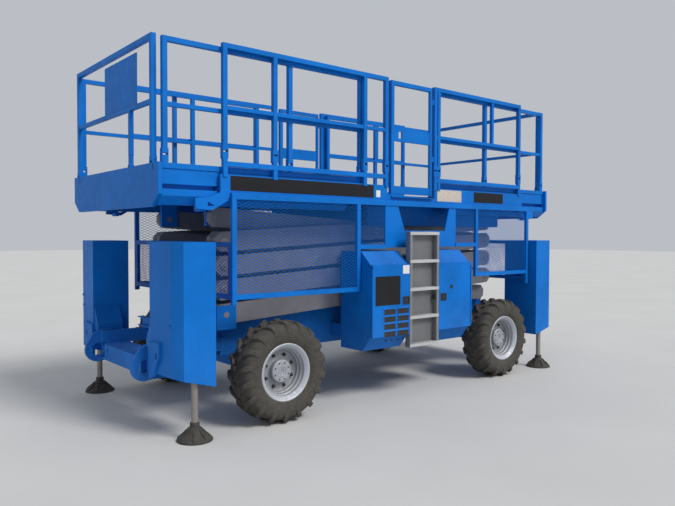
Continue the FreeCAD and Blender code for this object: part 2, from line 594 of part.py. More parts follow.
def make_stabilisers():
    """Hollow corner covers with a guide for each leg, and the legs with their feet."""
    def cover_plan(grow):
        shrink = "%s * cover_wall" % grow
        return (
            ("cover_inner_x + %s" % shrink, "cover_inner_y + %s" % shrink),
            ("end_x - %s" % shrink, "cover_inner_y + %s" % shrink),
            ("end_x - 20 - %s" % shrink, "cover_outer_y - 100"),
            ("end_x - 70 - %s / 2" % shrink, "cover_outer_y - %s" % shrink),
            ("cover_inner_x + %s" % shrink, "cover_outer_y - %s" % shrink),
        )
    skin = plate("cover_skin", "XY_Plane", cover_plan("0"), "cover_bottom",
                 "cover_top - cover_bottom")
    hollow = plate("cover_hollow", "XY_Plane", cover_plan("1"), "cover_bottom - 10",
                   "cover_top - cover_bottom + 10 - cover_wall")
    shell = cut("cover_shell", skin, hollow)
    guide = rod("leg_guide", "z", ("leg_x", "leg_y"), "cover_bottom + 110", "guide_length",
                "leg_radius + guide_wall")
    arms = [
        box("guide_arm_%d" % index, ("leg_x - 30", "leg_x + 30"), ("cover_inner_y + 4", "leg_y"),
            (z, "%s + 50" % z))
        for index, z in enumerate(("cover_bottom + 130", "cover_bottom + 40 + guide_length"))]
    bore = rod("leg_bore", "z", ("leg_x", "leg_y"), "cover_bottom - 20", "cover_top - cover_bottom",
               "leg_radius + seat_gap")
    bored = cut("cover_bored", fuse("cover_solid", [shell, guide] + arms), bore)
    slant = plate("cover_slant", "XZ_Plane", (
        ("cover_inner_x - 5", "cover_bottom - 30"), ("end_x + 5", "cover_bottom - 30"),
        ("end_x + 5", "cover_bottom + cover_rise"), ("cover_inner_x - 5", "cover_bottom - 5"),
    ), "cover_inner_y - 5", "cover_outer_y - cover_inner_y + 10")
    inner = "side_rail_y + tow_plate_thickness + 2"
    shoe = plate("cover_shoe", "YZ_Plane", (
        ("cover_inner_y", "side_rail_top"), ("cover_inner_y", "shoe_top"),
        (inner, "side_rail_top + 56"), (inner, "side_rail_top"),
    ), "end_beam_x - end_beam_length + 10", "end_beam_length")
    doubler = plate("cover_doubler", "YZ_Plane", (
        ("cover_inner_y - 4", "cover_top - 760"), ("cover_inner_y + 180", "cover_top - 745"),
        ("cover_inner_y + 180", "cover_top - 860"), ("cover_inner_y + 80", "cover_bottom + 60"),
        ("cover_inner_y - 4", "cover_bottom + 30"),
    ), "end_x - 14", "27")
    slot = box("doubler_slot", ("end_x + 3", "end_x + 20"),
               ("cover_inner_y + 128", "cover_inner_y + 152"), ("cover_top - 873", "cover_top - 827"))
    corner = fuse("cover_corner", [cut("cover_slanted", bored, slant), shoe,
                                   cut("cover_plate", doubler, slot)])
    far_pair = both_sides("cover_left_far", corner, (1, 0, 0))
    near_pair = [mirror("cover_near_%d" % index, piece, (0, 1, 0))
                 for index, piece in enumerate(far_pair)]
    node(gather("stabiliser_covers", far_pair + near_pair), "stabiliser_covers")

    foot_corners = (
        ("0", "0"), ("pad_radius", "0"), ("pad_radius", "18"), ("60", "60"),
        ("50", "pad_height"), ("0", "pad_height"),
    )
    foot = turned("foot_whole", foot_corners)
    foot.Placement.Rotation = FreeCAD.Rotation(FreeCAD.Vector(1, 0, 0), 90)
    stem = rod("stem_whole", "z", ("0", "0"), "pad_height - 10", "leg_length", "leg_radius")
    leg = fuse("leg_whole", [foot, stem])
    for end, x in (("left", "-leg_x"), ("right", "leg_x")):
        for side, y in (("near", "-leg_y"), ("far", "leg_y")):
            label = "leg_%s_%s" % (end, side)
            node(move(gather(label, [leg]), x, y), label)


def make_doors():
    """Module doors, each with half of a long hinge whose other half is the module's."""
    for name, left, right, face, hinge, side in DOORS:
        inside = "%s %s door_thickness" % (face, "+" if side < 0 else "-")
        skin = (face, inside) if side < 0 else (inside, face)
        leaf = box("leaf_" + name, (left, right), skin, ("module_sill", "module_eaves"))
        spread = "(door_thickness + 3)"
        recess = box("leaf_recess_" + name,
                     ("%s - hinge_radius - 3" % hinge, "%s + hinge_radius + 3" % hinge),
                     ("%s - %s" % (face, spread), "%s + %s" % (face, spread)),
                     (HINGE_SPLIT, "%s + hinge_length + 3" % HINGE_SPLIT))
        barrel = rod("door_barrel_" + name, "z", (hinge, face), "module_sill + 20", "hinge_length",
                     "hinge_radius")
        door = fuse("door_" + name, [cut("leaf_cut_" + name, leaf, recess), barrel])
        node(door, "door_" + name)


def module_hinge(name, hinge, face, outward, side):
    """The module's half of a door's hinge, on a strap along its end wall."""
    low = "%s + seat_gap" % HINGE_SPLIT
    strap_x = (hinge, "%s + 8" % hinge) if outward > 0 else ("%s - 8" % hinge, hinge)
    strap_y = ("%s - 70" % face, face) if side > 0 else (face, "%s + 70" % face)
    return [rod("hinge_pin_" + name, "z", (hinge, face), low, "hinge_length", "hinge_radius"),
            box("hinge_strap_" + name, strap_x, strap_y, (low, "%s + hinge_length" % low))]


def make_modules():
    """The side modules that hang on the chassis between the wheels."""
    front = "module_face_y - door_thickness - seat_gap"
    section = (
        (front, "module_sill"), (front, "module_eaves"), ("module_face_y - 160", "module_roof"),
        ("module_back_y", "module_roof"), ("module_back_y", "module_bottom"),
        ("module_face_y - 130", "module_bottom"),
    )
    near_section = tuple(("-(%s)" % y, z) for y, z in section)
    for name, left, right, side, outward in (
            ("near_left", "module_left_end", "ladder_left", -1, -1),
            ("near_right", "ladder_right", "module_right_end", -1, 1),
            ("far", "far_left_end", "far_right_end", 1, 1)):
        label = "module_" + name
        corners = section if side > 0 else near_section
        body = plate(label + "_body", "YZ_Plane", corners, left, "%s - (%s)" % (right, left))
        room_y = ("module_back_y + module_wall", "module_face_y + 10")
        room_left = "far_right_end - far_door_width"
        if side < 0:
            room_y = ("-module_face_y - 10", "-module_back_y - module_wall")
            room_left = left
        room = box(label + "_room", (room_left + " + module_wall", right + " - module_wall"), room_y,
                   ("module_sill + module_wall", "module_eaves - module_wall"))
        face = "module_face_y" if side > 0 else "-module_face_y"
        hinge = right if outward > 0 else left
        parts = [cut(label + "_hollow", body, room)] + module_hinge(name, hinge, face, outward, side)
        node(fuse(label, parts), label)
    node(box("engine_block", ("far_right_end - far_door_width + 90", "far_right_end - 100"),
             ("module_back_y + module_wall", "module_back_y + 340"),
             ("module_sill + module_wall", "module_sill + 520")), "engine_block")


def make_ladder():
    """Two channel stiles, a recessed back and flat rungs."""
    y = ("-module_face_y", "-module_face_y + ladder_depth")
    z = ("ladder_bottom", "ladder_bottom + rung_count * rung_pitch - rung_pitch + rung_height + 1")
    parts = [
        box("stile_left", ("ladder_left", "ladder_left + stile_width"), y, z),
        box("stile_right", ("ladder_right - stile_width", "ladder_right"), y, z),
        box("ladder_back", ("ladder_left", "ladder_right"),
            ("-module_face_y + ladder_depth - 5", "-module_face_y + ladder_depth"), z),
    ]
    for index in range(int(value_of("rung_count"))):
        height = "ladder_bottom + %d * rung_pitch" % index
        parts.append(box("rung_%d" % index, ("ladder_left", "ladder_right"), y,
                         (height, "%s + rung_height" % height)))
    node(fuse("ladder", parts), "ladder")


def arm_bar(label, y, direction):
    """One arm along X from its first pin at the local origin, with chamfered ends."""
    half = "arm_depth / 2"
    low_end, high_end = ("0", "arm_length") if direction > 0 else ("-arm_length", "0")
    corners = (
        ("%s - %s" % (low_end, half), "-arm_nose"), ("%s - arm_nose" % low_end, "-" + half),
        ("%s + arm_nose" % high_end, "-" + half), ("%s + %s" % (high_end, half), "-arm_nose"),
        ("%s + %s" % (high_end, half), "arm_nose"), ("%s + arm_nose" % high_end, half),
        ("%s - arm_nose" % low_end, half), ("%s - %s" % (low_end, half), "arm_nose"),
    )
    return plate(label, "XZ_Plane", corners, y[0], "(%s) - (%s)" % (y[1], y[0]))


def across(label, x, z, y, radius):
    """A round bar across the machine between two y expressions, far side."""
    return rod(label, "y", (x, z), y[0], "(%s) - (%s)" % (y[1], y[0]), radius)


def make_outer_arms(level):
    """The outer pair, whose middle tube is the pivot of the inner pair."""
    label = "arm_outer_%d" % level
    far = arm_bar(label + "_far", OUTER_ARM, 1)
    parts = both_sides(label + "_near", far)
    parts.append(across(label + "_hub", "arm_length / 2", "0",
                        ("-(%s)" % OUTER_ARM[0], OUTER_ARM[0]), "tube_radius"))
    whole = fuse(label + "_whole", parts)
    holes = [across(label + "_hole_0", "0", "0", ("-arm_plane - 5", "arm_plane + 5"),
                    "pin_radius" if level == 1 else "pin_radius + running_gap")]
    if level < 4:
        holes.append(across(label + "_hole_1", "arm_length", "0",
                            ("-arm_plane - 5", "arm_plane + 5"), "pin_radius + running_gap"))
    pair = whole
    for index, hole in enumerate(holes):
        pair = cut("%s_bored_%d" % (label, index), pair, hole)
    extras = []
    if level == 1:
        pin = across(label + "_pin", "0", "0", (OUTER_ARM[0], "arm_plane + 35"), "pin_radius")
        extras = both_sides(label + "_pin_near", pin)
    if level == 4:
        roller = across(label + "_roller", "arm_length", "0",
                        (UPPER_ROLLER_INNER, "%s + roller_width" % UPPER_ROLLER_INNER),
                        "roller_radius")
        neck = across(label + "_neck", "arm_length", "0", ("arm_plane", UPPER_ROLLER_INNER),
                      "pin_radius")
        extras = both_sides(label + "_roller_near", fuse(label + "_roller_far", [roller, neck]))
    item = fuse(label, [pair] + extras) if extras else pair
    turn(item, (0, -1, 0), ARM_ANGLE)
    move(item, "-pivot_x", "0", "base_pin_height + %d * level_rise" % (level - 1))
    node(item, label)


def make_inner_arms(level):
    """The inner pair, joined by the two cylinder tubes, with the pins that carry the rest."""
    label = "arm_inner_%d" % level
    far = arm_bar(label + "_far", INNER_ARM, -1)
    hub = across(label + "_hub", "-arm_length / 2", "0",
                 ("arm_plane - 2 * arm_thickness - arm_gap - 10", "arm_plane"),
                 "tube_radius + running_gap")
    far = cut(label + "_bored", far, hub)
    out = (INNER_ARM[0], "arm_plane")
    parts = [far]
    if level == 1:
        parts.append(across(label + "_axle", "0", "0", (LOWER_ROLLER[0], INNER_ARM[0]),
                            "pin_radius"))
        parts.append(across(label + "_roller", "0", "0", LOWER_ROLLER, "roller_radius"))
    else:
        parts.append(across(label + "_low_pin", "0", "0", out, "pin_radius"))
    top = out if level < 4 else ("%s - 45" % INNER_ARM[0], INNER_ARM[1])
    parts.append(across(label + "_top_pin", "-arm_length", "0", top, "pin_radius"))
    ear_y = ("%s - 20" % INNER_ARM[0], INNER_ARM[0])
    for index, (x, sign) in enumerate(TUBE_PLACES):
        reach = "mount_offset + tube_radius + 12"
        z_low, z_high = ("0", reach) if sign > 0 else ("-(%s)" % reach, "0")
        parts.append(box("%s_ear_%d" % (label, index), ("%s - 45" % x, "%s + 45" % x), ear_y,
                         (z_low, z_high)))
    takes_rod = level in (2, 4)
    if takes_rod:
        parts.append(across(label + "_half_tube", "-mount_along", "mount_offset",
                            ("cheek_inner", INNER_ARM[0]), "tube_radius"))
        parts.append(across(label + "_cheek", "-mount_along", "mount_offset",
                            ("cheek_inner", "cheek_inner + cheek_thickness"), "tube_radius + 22"))
    both = both_sides(label + "_near", fuse(label + "_side", parts))
    for index, (x, sign) in enumerate(TUBE_PLACES):
        if index == 0 and takes_rod:
            continue
        both.append(across("%s_tube_%d" % (label, index), x, "%d * mount_offset" % sign,
                           ("-(%s)" % INNER_ARM[0], INNER_ARM[0]), "tube_radius"))
    item = fuse(label, both)
    turn(item, (0, 1, 0), ARM_ANGLE)
    move(item, "%s - pivot_x" % ARM_RUN, "0", "base_pin_height + %d * level_rise" % (level - 1))
    node(item, label)


def make_cylinders():
    """Two lift cylinders, each from a tube of one inner arm pair to the cheeks of the next."""
    run = "(%s)" % ARM_RUN
    slope = "(level_rise / arm_length)"
    level_cos = "cos(asin(level_rise / arm_length))"
    share = "(mount_along / arm_length)"
    foot_x = "(-pivot_x + %s * %s - mount_offset * %s)" % (share, run, slope)
    eye_x = "(-pivot_x + (1 - %s) * %s + mount_offset * %s)" % (share, run, slope)
    foot_rise = "((1 - %s) * level_rise - mount_offset * %s)" % (share, level_cos)
    eye_rise = "(level_rise + %s * level_rise + mount_offset * %s)" % (share, level_cos)
    angle = "atan((%s - %s) / (%s - %s))" % (eye_rise, foot_rise, eye_x, foot_x)
    length = "sqrt((%s - %s)^2 + (%s - %s)^2)" % (eye_rise, foot_rise, eye_x, foot_x)
    barrel_end = "(%s - 290)" % length
    for index, base in ((1, "base_pin_height"), (2, "base_pin_height + 2 * level_rise")):
        label = "cylinder_barrel_%d" % index
        ring = across(label + "_ring", "0", "0", ("-eye_half", "eye_half"), "tube_radius + 25")
        tube = rod(label + "_tube", "x", ("0", "0"), "tube_radius + 10",
                   "%s - tube_radius - 10" % barrel_end, "cylinder_radius")
        hole = across(label + "_eye", "0", "0", ("-60", "60"), "tube_radius + running_gap")
        bore = rod(label + "_bore", "x", ("0", "0"), "120", length,
                   "cylinder_rod_radius + running_gap")
        barrel = cut(label, fuse(label + "_body", [ring, tube]), fuse(label + "_cuts", [hole, bore]))
        turn(barrel, (0, -1, 0), angle)
        node(move(barrel, foot_x, "0", "%s + %s" % (base, foot_rise)), label)

        label = "cylinder_rod_%d" % index
        boss = across(label + "_boss", length, "0", ("-eye_half", "eye_half"), "tube_radius + 20")
        stem = rod(label + "_stem", "x", ("0", "0"), "620", "%s - 620" % length,
                   "cylinder_rod_radius")
        stem = fuse(label, [boss, stem])
        turn(stem, (0, -1, 0), angle)
        node(move(stem, foot_x, "0", "%s + %s" % (base, foot_rise)), label)


def make_platform():
    """Floor with cross ribs, upper slide channels and the brackets of the fixed pins."""
    floor_low = "floor_top - floor_thickness"
    half = "platform_half_length"
    parts = [box("floor_plate", ("-" + half, half), ("-side_inner_y", "side_inner_y"),
                 (floor_low, "floor_top"))]
    rib_y = "slide_beam_inner_y - 10"
    for index, x in enumerate(("-pivot_x", "-1100", "-500", "100", "700", "1300", "1800")):
        parts.append(box("rib_%d" % index, ("%s - rib_half" % x, "%s + rib_half" % x),
                         ("-(%s)" % rib_y, rib_y), ("side_bottom", floor_low)))
    slide_x = ("%s - pivot_x - channel_reach" % ARM_RUN, "%s - pivot_x + 110" % ARM_RUN)
    web_y = "(%s + roller_width + 6)" % UPPER_ROLLER_INNER
    web = box("upper_web", slide_x, (web_y, "%s + channel_wall" % web_y),
              ("%s - roller_radius - running_gap - channel_wall" % TOP_PIN_HEIGHT, floor_low))
    lower = box("upper_lip_low", slide_x, (UPPER_ROLLER_INNER, web_y),
                ("%s - roller_radius - running_gap - channel_wall" % TOP_PIN_HEIGHT,
                 "%s - roller_radius - running_gap" % TOP_PIN_HEIGHT))
    upper = box("upper_lip_high", slide_x, (UPPER_ROLLER_INNER, web_y),
                ("%s + roller_radius + running_gap" % TOP_PIN_HEIGHT,
                 "%s + roller_radius + running_gap + channel_wall" % TOP_PIN_HEIGHT))
    hanger = box("pin_hanger", ("-pivot_x - 80", "-pivot_x + 80"),
                 ("%s - 45" % INNER_ARM[0], "%s - 10" % INNER_ARM[0]),
                 ("%s - 70" % TOP_PIN_HEIGHT, floor_low))
    side = fuse("under_far", [web, lower, upper, hanger])
    parts += both_sides("under_near", side)
    hole = across("hanger_hole", "-pivot_x", TOP_PIN_HEIGHT, ("-arm_plane", "arm_plane"),
                  "pin_radius + running_gap")
    node(cut("platform_floor", fuse("floor_all", parts), hole), "platform_floor")


def fork(label, x, y, hinge, along, pinned):
    """A fork that holds a folding post; along is the hinge line, x or y."""
    gap = "rail_half + seat_gap"
    wide = "%s + fork_wall" % gap
    base_top = "%s - hinge_drop" % hinge
    centre, other = (x, y) if along == "x" else (y, x)
    width = ("%s - rail_half" % other, "%s + rail_half" % other)
    pieces = (
        ("base", ("%s - (%s)" % (centre, wide), "%s + %s" % (centre, wide)),
         ("%s - fork_height" % base_top, base_top)),
        ("ear_0", ("%s - (%s)" % (centre, wide), "%s - (%s)" % (centre, gap)),
         (base_top, "%s + 20" % hinge)),
        ("ear_1", ("%s + %s" % (centre, gap), "%s + %s" % (centre, wide)),
         (base_top, "%s + 20" % hinge)),
    )
    parts = []
    for name, span, z in pieces:
        pair = (span, width) if along == "x" else (width, span)
        parts.append(box("%s_%s" % (label, name), pair[0], pair[1], z))
    if pinned:
        parts.append(rod(label + "_pin", along, (other, hinge), "%s - (%s) - 4" % (centre, wide),
                         "2 * (%s) + 8" % wide, "fold_pin_radius"))
    return parts


def make_platform_sides():
    """A sill with its corner brackets; on it, beside the gate, boards that carry the rails."""
    half = "platform_half_length"
    wide = ("side_inner_y", "side_outer_y")
    sill = box("side_sill", ("-" + half, half), wide, ("side_bottom", "floor_top"))
    lip = box("entry_lip", ("gate_left", "gate_right"), (wide[0], "side_outer_y + lip_reach"),
              ("floor_top - lip_thickness", "floor_top"))
    boards = []
    board_x = {"left": ("-" + half, "gate_left - 40"), "right": ("gate_right + 40", half)}
    for side, posts, halves in MAIN_POSTS:
        parts = [box("side_board_" + side, board_x[side], wide, ("floor_top + seat_gap", "side_top"))]
        parts.append(square("toe_rail_" + side, "x", ("rail_y", "toe_height"), posts[0],
                            "(%s) - (%s)" % (posts[-1], posts[0]), "toe_half"))
        for index, x in enumerate(posts):
            name = "main_stub_%s_%d" % (side, index)
            parts.append(box(name, ("%s - rail_half" % x, "%s + rail_half" % x),
                             ("side_inner_y", "rail_y + rail_half"),
                             ("side_top - 20", "rail_hinge - hinge_drop - fork_height")))
            parts += fork(name + "_fork", x, "rail_y", "rail_hinge", "x", index in (0, len(posts) - 1))
        boards.append(fuse("side_boards_" + side, parts))
    bracket = plate("corner_outline", "XZ_Plane", BRACKET, "side_inner_y", "side_outer_y - side_inner_y")
    window = plate("corner_window", "XZ_Plane", BRACKET_WINDOW, "side_inner_y - 5",
                   "side_outer_y - side_inner_y + 10")
    wheel = rod("deck_roller", "y", ("platform_half_length + 140",
                                     "slide_beam_bottom - deck_roller_radius - 1"),
                "slide_beam_inner_y + 2", "side_inner_y - slide_beam_inner_y", "deck_roller_radius")
    corner = fuse("corner_bracket", [cut("corner_plate", bracket, window), wheel])
    lower = fuse("side_lower", [sill, lip] + both_sides("corner_left", corner, (1, 0, 0)))
    far = gather("platform_side_far", [lower] + boards)
    node(far, "platform_side_far")
    node(mirror("platform_side_near", far, (0, 1, 0)), "platform_side_near")


def rail_section(label, posts, halves, y, hinge, middle, top):
    """Posts above their hinges with a mid and a top rail; halves stand on the mid rail."""
    length = "(%s) - (%s)" % (posts[-1], posts[0])
    parts = [square(label + "_top", "x", (y, top), "%s - rail_half" % posts[0],
                    "%s + 2 * rail_half" % length, "rail_half"),
             square(label + "_middle", "x", (y, middle), posts[0], length, "mid_rail_half")]
    for index, x in enumerate(posts):
        parts.append(square("%s_post_%d" % (label, index), "z", (x, y), "%s - 15" % hinge,
                            "%s + 15 - (%s)" % (top, hinge), "rail_half"))
    for index, x in enumerate(halves):
        parts.append(square("%s_half_%d" % (label, index), "z", (x, y), middle,
                            "%s - (%s)" % (top, middle), "mid_rail_half"))
    hole = rod(label + "_hole", "x", (y, hinge), "%s - 100" % posts[0], "%s + 200" % length,
               "fold_pin_radius + running_gap")
    return cut(label + "_pinned", fuse(label, parts), hole)


def make_main_rails():
    left, right = [rail_section("main_rail_" + side, posts, halves, "rail_y", "rail_hinge",
                                "rail_middle", "rail_top") for side, posts, halves in MAIN_POSTS]
    first = MAIN_POSTS[1][1][0]
    lugs = [box("gate_lug_%d" % index, ("gate_right + seat_gap", first),
                ("rail_y - 12", "rail_y + 12"), (z, "%s + 50" % z))
            for index, z in enumerate(("rail_hinge + 60", "rail_top - 160"))]
    gusset = plate("rail_gusset", "XZ_Plane", (
        (first, "rail_top"), (first, "rail_top - 110"), ("%s + 60" % first, "rail_top - 75"),
        ("%s + 130" % first, "rail_top"),
    ), "rail_y - 6", "12")
    far = gather("rails_far", [left, fuse("main_rail_gated", [right, gusset] + lugs)])
    node(far, "rails_far")
    node(mirror("rails_near", far, (0, 1, 0)), "rails_near")


def make_gates():
    """Swinging entry gates with a solid latch plate and a solid toe plate."""
    x = ("gate_left + rail_half", "gate_right - rail_half")
    low = "floor_top + 25"
    tall = "rail_top - (%s)" % low
    parts = [
        square("gate_left_post", "z", (x[0], "rail_y"), low, tall, "rail_half"),
        rod("gate_right_post", "z", (x[1], "rail_y"), low, tall, "rail_half"),
        square("gate_top", "x", ("rail_y", "rail_top - rail_half"), x[0],
               "gate_right - gate_left - 2 * rail_half", "rail_half"),
        box("gate_plate", x, ("rail_y - 8", "rail_y + 8"), ("rail_middle - 90", "rail_middle + 30")),
        box("gate_toe", x, ("rail_y - 8", "rail_y + 8"), (low, "side_top")),
    ]
    slot = box("gate_slot", ("gate_left + 105", "gate_left + 150"), ("rail_y - 15", "rail_y + 15"),
               ("rail_middle - 60", "rail_middle + 5"))
    far = cut("gate_far", fuse("gate_solid", parts), slot)
    node(far, "gate_far")
    node(mirror("gate_near", far, (0, 1, 0)), "gate_near")


def end_rail(end):
    """The folding rail across an extension's end, drawn at the right end."""
    tall = "end_rail_half_width"
    length = "2 * end_rail_half_width"
    parts = [
        square("end_top_" + end, "y", ("end_rail_x", "rail_top"), "-%s - rail_half" % tall,
               length + " + 2 * rail_half", "rail_half"),
        square("end_middle_" + end, "y", ("end_rail_x", "rail_middle"), "-" + tall, length,
               "mid_rail_half"),
    ]
    for index, y in enumerate(("-" + tall, tall)):
        parts.append(square("end_post_%s_%d" % (end, index), "z", ("end_rail_x", y),
                            "end_hinge - 15", "rail_top + 15 - end_hinge", "rail_half"))
    if end == "left":
        parts.append(box("end_placard", ("end_rail_x - 4", "end_rail_x + 4"),
                         ("placard_left", "placard_right"), ("rail_middle", "rail_top - 60")))
        parts.append(square("end_short_post", "z", ("end_rail_x", "placard_left + 120"),
                            "end_hinge + 60", "rail_middle - end_hinge - 60", "mid_rail_half"))
    hole = rod("end_hole_" + end, "y", ("end_rail_x", "end_hinge"), "-%s - 100" % tall,
               length + " + 200", "fold_pin_radius + running_gap")
    return cut("end_pinned_" + end, fuse("end_frame_" + end, parts), hole)


def make_extensions():
    """Roll-out decks at both ends with their own folding rails."""
    floor_low = "floor_top + runner_height"
    top = "%s + extension_floor_thickness" % floor_low
    inner = "extension_end - kick_thickness"
    beam_section = (
        ("slide_beam_inner_y", "slide_beam_bottom"), ("slide_beam_inner_y + 45", "slide_beam_bottom"),
        ("slide_beam_outer_y", "slide_beam_bottom + 65"), ("slide_beam_outer_y", "slide_beam_top"),
        ("slide_beam_inner_y", "slide_beam_top"),
    )
    kick_corners = (
        ("-kick_half_width", "kick_bottom"), ("-kick_half_width", "kick_top"),
        ("kick_half_width", "kick_top"), ("kick_half_width", "kick_bottom"),
        ("slide_beam_inner_y", "slide_beam_bottom - 15"),
        ("-slide_beam_inner_y", "slide_beam_bottom - 15"),
    )
    for end, reach in (("right", "extension_right_reach"), ("left", "extension_left_reach")):
        floor = box("deck_floor_" + end, (reach, inner), ("-slide_beam_outer_y + 10",
                                                        "slide_beam_outer_y - 10"),
                    (floor_low, top))
        kick = plate("kick_" + end, "YZ_Plane", kick_corners, inner, "kick_thickness")
        posts = (reach + " + 40", reach + " + 820", "end_rail_x - 55")
        side_parts = [
            box("runner_" + end, (reach, inner), ("slide_beam_inner_y - 90", "slide_beam_inner_y - 50"),
                ("floor_top + running_gap", floor_low)),
            box("toe_board_" + end, (reach, inner), ("slide_beam_outer_y - 20",
                                                     "slide_beam_outer_y - 10"),
                (top, "kick_top - 2 * toe_half")),
            square("toe_tube_" + end, "x", ("extension_rail_y", "kick_top - toe_half"), reach,
                   "%s - (%s)" % (inner, reach), "toe_half"),
            plate("slide_beam_" + end, "YZ_Plane", beam_section, reach + " + 200",
                  "%s - (%s + 200)" % (inner, reach)),
            box("slide_web_" + end, ("platform_half_length + 20", inner),
                ("slide_beam_inner_y", "slide_beam_inner_y + 40"), ("slide_beam_top", floor_low)),
        ]
        for index, x in enumerate(posts):
            name = "extension_stub_%s_%d" % (end, index)
            side_parts.append(box(name, ("%s - rail_half" % x, "%s + rail_half" % x),
                                  ("extension_rail_y - rail_half", "extension_rail_y + rail_half"),
                                  ("kick_top - 5", "extension_hinge - hinge_drop - fork_height")))
            side_parts += fork(name + "_fork", x, "extension_rail_y", "extension_hinge", "x", index != 1)
        side_parts += fork("end_fork_" + end, "end_rail_x", "end_rail_half_width", "end_hinge", "y",
                           True)
        side = fuse("deck_side_" + end, side_parts)
        deck = fuse("deck_" + end, [floor, kick] + both_sides("deck_side_near_" + end, side))
        rail = rail_section("extension_rail_" + end, posts, (), "extension_rail_y", "extension_hinge",
                            "extension_rail_middle", "extension_rail_top")
        near = mirror("near_rail_" + end, rail, (0, 1, 0))
        pieces = (("extension_deck_", deck), ("extension_rail_far_", rail),
                  ("extension_rail_near_", near), ("end_rail_", end_rail(end)))
        for name, piece in pieces:
            if end == "left":
                piece = mirror(name + "flipped", piece, (1, 0, 0))
            node(piece, name + end)


def mesh_sheet(label, flat, start, across_span, z_span, columns, rows):
    """A coarse grid of strands; flat is the axis the sheet faces, x or y."""
    skin = (start, "%s + mesh_thickness" % start)
    low, high = across_span
    bars = []
    for step in range(1, columns):
        centre = "(%s) + ((%s) - (%s)) * %d / %d" % (low, high, low, step, columns)
        bars.append(("%s - mesh_strand / 2" % centre, "%s + mesh_strand / 2" % centre) + tuple(z_span))
    for step in range(1, rows):
        centre = "(%s) + ((%s) - (%s)) * %d / %d" % (z_span[0], z_span[1], z_span[0], step, rows)
        bars.append((low, high, "%s - mesh_strand / 2" % centre, "%s + mesh_strand / 2" % centre))
    strands = []
    for index, (left, right, bottom, top) in enumerate(bars):
        spans = [(left, right), (bottom, top)]
        spans.insert("xy".index(flat), skin)
        strands.append(box("%s_strand_%d" % (label, index), *spans))
    return fuse(label, strands)


def make_guards():
    """Mesh guards that hang from the platform all round the folded scissor."""
    y = ("side_outer_y", "side_outer_y + guard_thickness")
    frame = fuse("guard_frame", [box("guard_" + name, x, y, z) for name, x, z in GUARD_FRAME])
    shield = plate("guard_plate", "XZ_Plane", GUARD_PLATE, "side_outer_y + 8", "guard_thickness - 16")
    middle = fuse("guard_middle", [box("guard_" + name, x, y, z) for name, x, z in GUARD_SILLS] + [shield])
    far = gather("guard_far", [frame, middle])
    node(far, "guard_far")
    node(mirror("guard_near", far, (0, 1, 0)), "guard_near")
    ends = []
    sheets = []
    window_z = ("guard_bottom + guard_bar", "guard_end_top - guard_bar")
    window_y = ("-side_outer_y + guard_bar", "side_outer_y - guard_bar")
    for end, x in (("left", "guard_left"), ("right", "guard_right - guard_thickness")):
        wide = ("-side_outer_y", "side_outer_y")
        bars = [box("end_guard_%s_%s" % (name, end), (x, "%s + guard_thickness" % x), span, z)
                for name, span, z in (
                    ("top", wide, (window_z[1], "guard_end_top")),
                    ("low", wide, ("guard_bottom", window_z[0])),
                    ("near", (wide[0], window_y[0]), window_z),
                    ("far", (window_y[1], wide[1]), window_z))]
        ends.append(fuse("end_guard_" + end, bars))
        sheets.append(mesh_sheet("end_mesh_" + end, "x", "%s + guard_thickness / 2 - mesh_thickness / 2" % x,
                                 window_y, window_z, 12, 3))
    node(gather("guard_ends", ends), "guard_ends")
    node(gather("mesh_ends", sheets), "mesh_ends")
    start = "side_outer_y + guard_thickness / 2 - mesh_thickness / 2"
    side = gather("mesh_far", [mesh_sheet("mesh_" + name, "y", start, x, z, columns, rows)
                               for name, x, z, columns, rows in GUARD_WINDOWS])
    node(side, "mesh_far")
    node(mirror("mesh_near", side, (0, 1, 0)), "mesh_near")


make_wheels()
make_axles()
make_chassis()
make_end_frames()
make_stabilisers()
make_modules()
make_doors()
make_ladder()
for level in range(1, 5):
    make_outer_arms(level)
    make_inner_arms(level)
make_cylinders()
make_platform()
make_platform_sides()
make_main_rails()
make_gates()
make_extensions()
make_guards()

doc.recompute()

for item in doc.Objects:
    if {"Invalid", "Error"} & set(item.State):
        raise RuntimeError("%s did not compute" % item.Name)
for item in nodes:
    if item.Shape.isNull() or not item.Shape.isValid():
        raise RuntimeError("%s has no valid shape" % item.Label)

os.makedirs("parts", exist_ok=True)
for item in nodes:
    item.Shape.exportStep("parts/%s.step" % item.Label)
print(len(nodes), "pieces written")
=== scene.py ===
import math

import bmesh
import bpy
from mathutils import Matrix, Vector


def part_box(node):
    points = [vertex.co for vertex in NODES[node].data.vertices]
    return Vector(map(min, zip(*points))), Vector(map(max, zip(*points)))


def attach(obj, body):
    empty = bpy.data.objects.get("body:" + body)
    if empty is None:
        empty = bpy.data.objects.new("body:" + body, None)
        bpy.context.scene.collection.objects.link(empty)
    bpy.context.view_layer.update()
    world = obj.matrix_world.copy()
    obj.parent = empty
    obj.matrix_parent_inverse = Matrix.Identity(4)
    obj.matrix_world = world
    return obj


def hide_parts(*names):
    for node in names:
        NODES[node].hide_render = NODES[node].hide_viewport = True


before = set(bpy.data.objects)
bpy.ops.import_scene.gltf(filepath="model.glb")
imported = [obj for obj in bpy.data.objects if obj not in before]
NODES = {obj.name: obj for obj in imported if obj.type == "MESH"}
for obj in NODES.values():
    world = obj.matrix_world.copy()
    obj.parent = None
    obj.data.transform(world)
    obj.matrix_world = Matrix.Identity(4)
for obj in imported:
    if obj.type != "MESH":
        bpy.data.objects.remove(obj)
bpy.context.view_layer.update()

NEAR = -1
FAR = 1
SIDES = (NEAR, FAR)
SIDE_NAME = {NEAR: "near", FAR: "far"}

